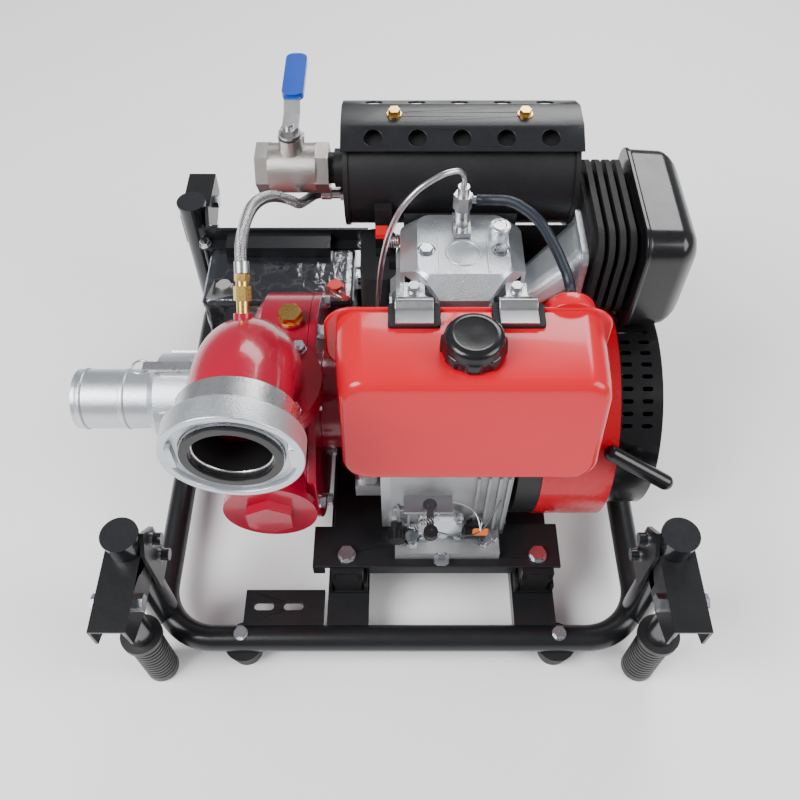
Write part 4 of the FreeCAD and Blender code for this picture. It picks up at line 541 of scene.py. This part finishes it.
# ---------------------------------------------------------------- battery wrap
def film():
    """Thin clear film: mostly see-through, bright where it turns away or wrinkles."""
    mat, nodes, links, bsdf = shader("clear_film")
    out = nodes["Material Output"]
    clear = nodes.new("ShaderNodeBsdfTransparent")
    clear.inputs["Color"].default_value = (0.95, 0.96, 0.97, 1)
    gloss = nodes.new("ShaderNodeBsdfGlossy")
    gloss.inputs["Roughness"].default_value = 0.14
    gloss.inputs["Color"].default_value = (0.95, 0.96, 1.0, 1)
    rim = nodes.new("ShaderNodeFresnel")
    rim.inputs["IOR"].default_value = 1.5
    creases = nodes.new("ShaderNodeTexVoronoi")
    creases.feature = "DISTANCE_TO_EDGE"
    creases.inputs["Scale"].default_value = 24.0
    coords = nodes.new("ShaderNodeTexCoord")
    warp = nodes.new("ShaderNodeTexNoise")
    warp.inputs["Scale"].default_value = 30.0
    warp.inputs["Detail"].default_value = 4
    links.new(coords.outputs["Object"], warp.inputs["Vector"])
    blend = nodes.new("ShaderNodeMix")
    blend.data_type = "RGBA"
    blend.inputs["Factor"].default_value = 0.08
    links.new(coords.outputs["Object"], blend.inputs["A"])
    links.new(warp.outputs["Color"], blend.inputs["B"])
    links.new(blend.outputs["Result"], creases.inputs["Vector"])
    line = nodes.new("ShaderNodeMapRange")
    line.inputs["From Max"].default_value = 0.06
    line.inputs["To Min"].default_value = 0.16
    line.inputs["To Max"].default_value = 0.03
    links.new(creases.outputs["Distance"], line.inputs["Value"])
    total = nodes.new("ShaderNodeMath")
    total.operation = "ADD"
    total.use_clamp = True
    links.new(rim.outputs["Fac"], total.inputs[0])
    links.new(line.outputs["Result"], total.inputs[1])
    bump = nodes.new("ShaderNodeBump")
    bump.inputs["Strength"].default_value = 0.6
    bump.inputs["Distance"].default_value = 0.002
    links.new(creases.outputs["Distance"], bump.inputs["Height"])
    links.new(bump.outputs["Normal"], gloss.inputs["Normal"])
    mix = nodes.new("ShaderNodeMixShader")
    links.new(total.outputs["Value"], mix.inputs["Fac"])
    links.new(clear.outputs["BSDF"], mix.inputs[1])
    links.new(gloss.outputs["BSDF"], mix.inputs[2])
    links.new(mix.outputs["Shader"], out.inputs["Surface"])
    nodes.remove(bsdf)
    return mat


CLEAR_FILM = film()


def battery_wrap():
    x0, x1, y0, y1, z0, z1 = -262, -64, 93, 212, 67, 232
    rings = []
    around = 30
    levels = 44
    for level in range(levels + 1):
        t = level / levels
        z = z0 + (z1 - z0 + 1.5) * min(1.0, t / 0.72)
        shrink = 0 if t <= 0.72 else (t - 0.72) / 0.28
        ring = []
        for a, b in rounded(x0, x1, y0, y1, 7, around):
            cx, cy = (x0 + x1) / 2, (y0 + y1) / 2
            px = cx + (a - cx) * (1 - shrink * 0.97)
            py = cy + (b - cy) * (1 - shrink * 0.97)
            ring.append((px, py, z))
        rings.append(ring)
    verts, faces = lofted(rings, False)
    fine_verts = []
    for x, y, z in verts:
        n1 = noise.noise(Vector((x * 0.05, y * 0.05, z * 0.018)))
        n2 = abs(noise.noise(Vector((x * 0.11 + 7, y * 0.11, z * 0.05))))
        out = 1.2 + 2.2 * max(0, n1) + 3.0 * (0.35 - n2) * (n2 < 0.35)
        cx, cy = (x0 + x1) / 2, (y0 + y1) / 2
        on_top = z > z1
        dx = 0 if on_top else (1 if x > x1 - 8 else -1 if x < x0 + 8 else 0)
        dy = 0 if on_top else (1 if y > y1 - 8 else -1 if y < y0 + 8 else 0)
        dz = out * 0.8 if on_top else 0
        fine_verts.append((x + dx * out, y + dy * out, z + dz))
    piece("battery_film", fine_verts, faces, CLEAR_FILM)


battery_wrap()


# ---------------------------------------------------------------- hoses, springs and wires
def primer_hose():
    h = math.sqrt(0.5)
    foot = Vector((-150, -212 + 114 * h, 377 + 114 * h))
    way = Vector((0, h, h))
    start = foot + way * 40.1
    route = [tuple(start), tuple(start + way * 30), (-144, -42, 513), (-132, -6, 497), (-118, 28, 463),
             (-112, 54, 435), (-106, 78, 420), (-95, 89, 419), STUB]
    tube_curve("hose_core", route, 4.7, STEEL_DARK, replaces=["primer_hose"], sides=6)
    frames = along_route(route, 12)
    strands = []
    for turn in (1.0, -1.0):
        for strand in range(10):
            strands.append(helix(frames, 5.0, 26.0, 2 * math.pi * strand / 10, turn))
    tube_curve("hose_braid", strands, 0.62, STEEL, poly=True, sides=1)
    for place, direction in ((start, way), (Vector(STUB), Vector((-1, 0, 0)))):
        verts, faces = turned_profile([(0, 6.6), (0.6, 7.2), (11, 7.2), (12, 6.4), (12, 5.2)],
                                      tuple(place), tuple(direction), 32)
        piece("hose_ferrule_a" if direction is way else "hose_ferrule_b", verts, faces, STEEL,
              bevel=0.2)


primer_hose()


def coil(name, start, end, radius, wire, turns, material, body="machine"):
    frames = along_route([start, end], int(turns * 14))
    pitch = frames[-1][4] / turns
    tube_curve(name, [helix(frames, radius, pitch, 0)], wire, material, body, poly=True, sides=2)


coil("decompression_spring", (-12.4, 2, 428), (-0.8, 2, 428), 7.0, 0.9, 5, STEEL)
coil("governor_spring", (14, -236, 221), (44, -222, 221), 3.2, 0.6, 11, STEEL)
tube_curve("governor_link", [(10, -234, 221), (14, -236, 221)], 0.8, STEEL)
tube_curve("throttle_wire", [(34, -240, 226), (52, -246, 224), (74, -238, 206), (92, -226, 190),
                             (104, -214, 200), (116, -196, 214)], 0.9, STEEL_DARK)
tube_curve("stop_wire", [(60, -199, 214), (76, -206, 221), (89, -222, 222), (90, -236, 214)], 0.8, STEEL)


# ---------------------------------------------------------------- small engine details
def recoil_face():
    """Stepped rings and radial ribs on the outer face of the starter housing."""
    parts = [turned_profile([(-0.5, 119), (1.2, 118.4), (2.2, 116), (2.2, 104), (0.5, 101.5), (0.5, 62),
                             (3.0, 58), (4.2, 52), (4.2, 30), (3.0, 28), (3.0, 0.1)],
                            (HOUSE_END, *SHAFT), (1, 0, 0), 96)]
    for rib in range(18):
        angle = math.radians(20 * rib + 10)
        along = Vector((0, math.cos(angle), math.sin(angle)))
        side = Vector((0, -math.sin(angle), math.cos(angle)))
        rings = []
        for height, half in ((0.2, 2.2), (1.8, 1.6)):
            corners = []
            for reach, sign in ((60, -1), (103, -1), (103, 1), (60, 1)):
                point = Vector((HOUSE_END + height, *SHAFT)) + along * reach + side * sign * half
                corners.append(tuple(point))
            rings.append(corners)
        parts.append(lofted(rings))
    verts, faces = merged(parts)
    piece("recoil_face", verts, faces, PLASTIC_MATT, bevel=0.4)


recoil_face()


def shank_beads():
    """Low beads round the suction hose shank."""
    parts = []
    for x, height in ((-335, 1.0), (-387, 1.5)):
        top = SHANK_R + height
        parts.append(turned_profile([(0, 37.0), (0, 37.45), (0.6, top - height * 0.4), (1.8, top),
                                     (3.0, top), (4.6, top - height * 0.4), (8, 37.45), (8, 37.0)],
                                    (x, *SHAFT), (-1, 0, 0), 72, True))
    verts, faces = merged(parts)
    piece("shank_beads", verts, faces, CAST_ALU)


shank_beads()


def front_details():
    parts = []
    for x in (-2.0, 10.0, 88.0, 100.0, 112.0, 122.0):
        top = 262 if x > 80 else 196
        parts.append(lofted([[(a, y, b) for a, b in rounded(x - 1.8, x + 1.8, 141, top, 1.2, 2)]
                             for y in (-192.5, -197.5)]))
    for z in (150.0, 188.0):
        parts.append(lofted([[(x, a, b) for a, b in rounded(-196.5, -191.5, z - 1.6, z + 1.6, 1.2, 2)]
                             for x in (-8, 20)]))
    for x, z in COVER_SCREWS:
        parts.append(turned_profile([(0, 6), (6, 6), (7, 5)], (x, -199, z), (0, -1, 0), 24))
    verts, faces = merged(parts)
    piece("case_ribs", verts, faces, CASE_ALU, bevel=0.7)
    heads = []
    for x, z in COVER_SCREWS:
        heads.append(turned_profile([(0, 5.6), (0.8, 5.6), (0.8, 4.6), (4.2, 4.6), (4.8, 4.0)],
                                    (x, -205.8, z), (0, -1, 0), 6))
    for x, y, z in ((0, -207, 136), (16, -214, 136), (100, -214, 136), (114, -207, 136)):
        heads.append(turned_profile([(0, 6.4), (1, 6.4), (1, 4.8), (5, 4.8), (5.6, 4.2)],
                                    (x, y, z), (0, 0, 1), 6))
    verts, faces = merged(heads)
    piece("case_screws", verts, faces, ZINC, bevel=0.2)
    ring = []
    for step in range(61):
        angle = math.radians(6 * step)
        ring.append((NECK_X + 36.4 * math.cos(angle), -273, OUTLET_Z + 36.4 * math.sin(angle)))
    tube_curve("outlet_ring", ring, 1.6, ALU_FINE, poly=True, sides=3)


front_details()


# ---------------------------------------------------------------- orange tag
def tag():
    verts, faces = lofted([[(a, y, b) for a, b in rounded(84, 102, 176, 192, 3, 4)]
                           for y in (-222.4, -221.2)])
    piece("orange_tag", verts, faces, ORANGE, bevel=0.2)
    tube_curve("tag_tie", [(93, -221.8, 191), (95, -216, 197), (92, -206, 194), (88, -200, 186)], 0.6, STEEL)


tag()


# ---------------------------------------------------------------- studio
def floor():
    size = 9.0
    mesh = bpy.data.meshes.new("floor")
    mesh.from_pydata([(-size, -size, 0), (size, -size, 0), (size, size, 0), (-size, size, 0)], [],
                     [(0, 1, 2, 3)])
    obj = bpy.data.objects.new("floor", mesh)
    bpy.context.scene.collection.objects.link(obj)
    mesh.materials.append(surface("floor_pale", (0.95, 0.95, 0.95), 0.75, mottle=0.01, mottle_scale=2))


def area(name, place, target, size, power):
    light = bpy.data.lights.new(name, "AREA")
    light.shape = "RECTANGLE"
    light.size = size[0]
    light.size_y = size[1]
    light.energy = power
    obj = bpy.data.objects.new(name, light)
    obj.location = place
    obj.rotation_euler = (Vector(target) - Vector(place)).to_track_quat("-Z", "Y").to_euler()
    bpy.context.scene.collection.objects.link(obj)


floor()
area("key", (-1.5, -0.9, 2.2), (0.05, 0, 0.2), (1.4, 1.4), 100)
area("fill", (1.9, -0.8, 1.6), (0.05, 0, 0.2), (1.4, 1.4), 48)
area("top", (0.7, 1.9, 1.9), (0.05, 0, 0.2), (1.6, 0.8), 44)
world = bpy.data.worlds.new("studio")
world.use_nodes = True
world.node_tree.nodes["Background"].inputs["Color"].default_value = (0.93, 0.95, 1.0, 1)
world.node_tree.nodes["Background"].inputs["Strength"].default_value = 0.34
bpy.context.scene.world = world

lens = bpy.data.cameras.new("camera")
lens.lens = 37.53
lens.sensor_width = 36.0
camera = bpy.data.objects.new("camera", lens)
camera.location = (SHIFT, -0.6615, 1.058)
camera.rotation_euler = (math.radians(35.7), 0, 0)
bpy.context.scene.collection.objects.link(camera)
bpy.context.scene.camera = camera
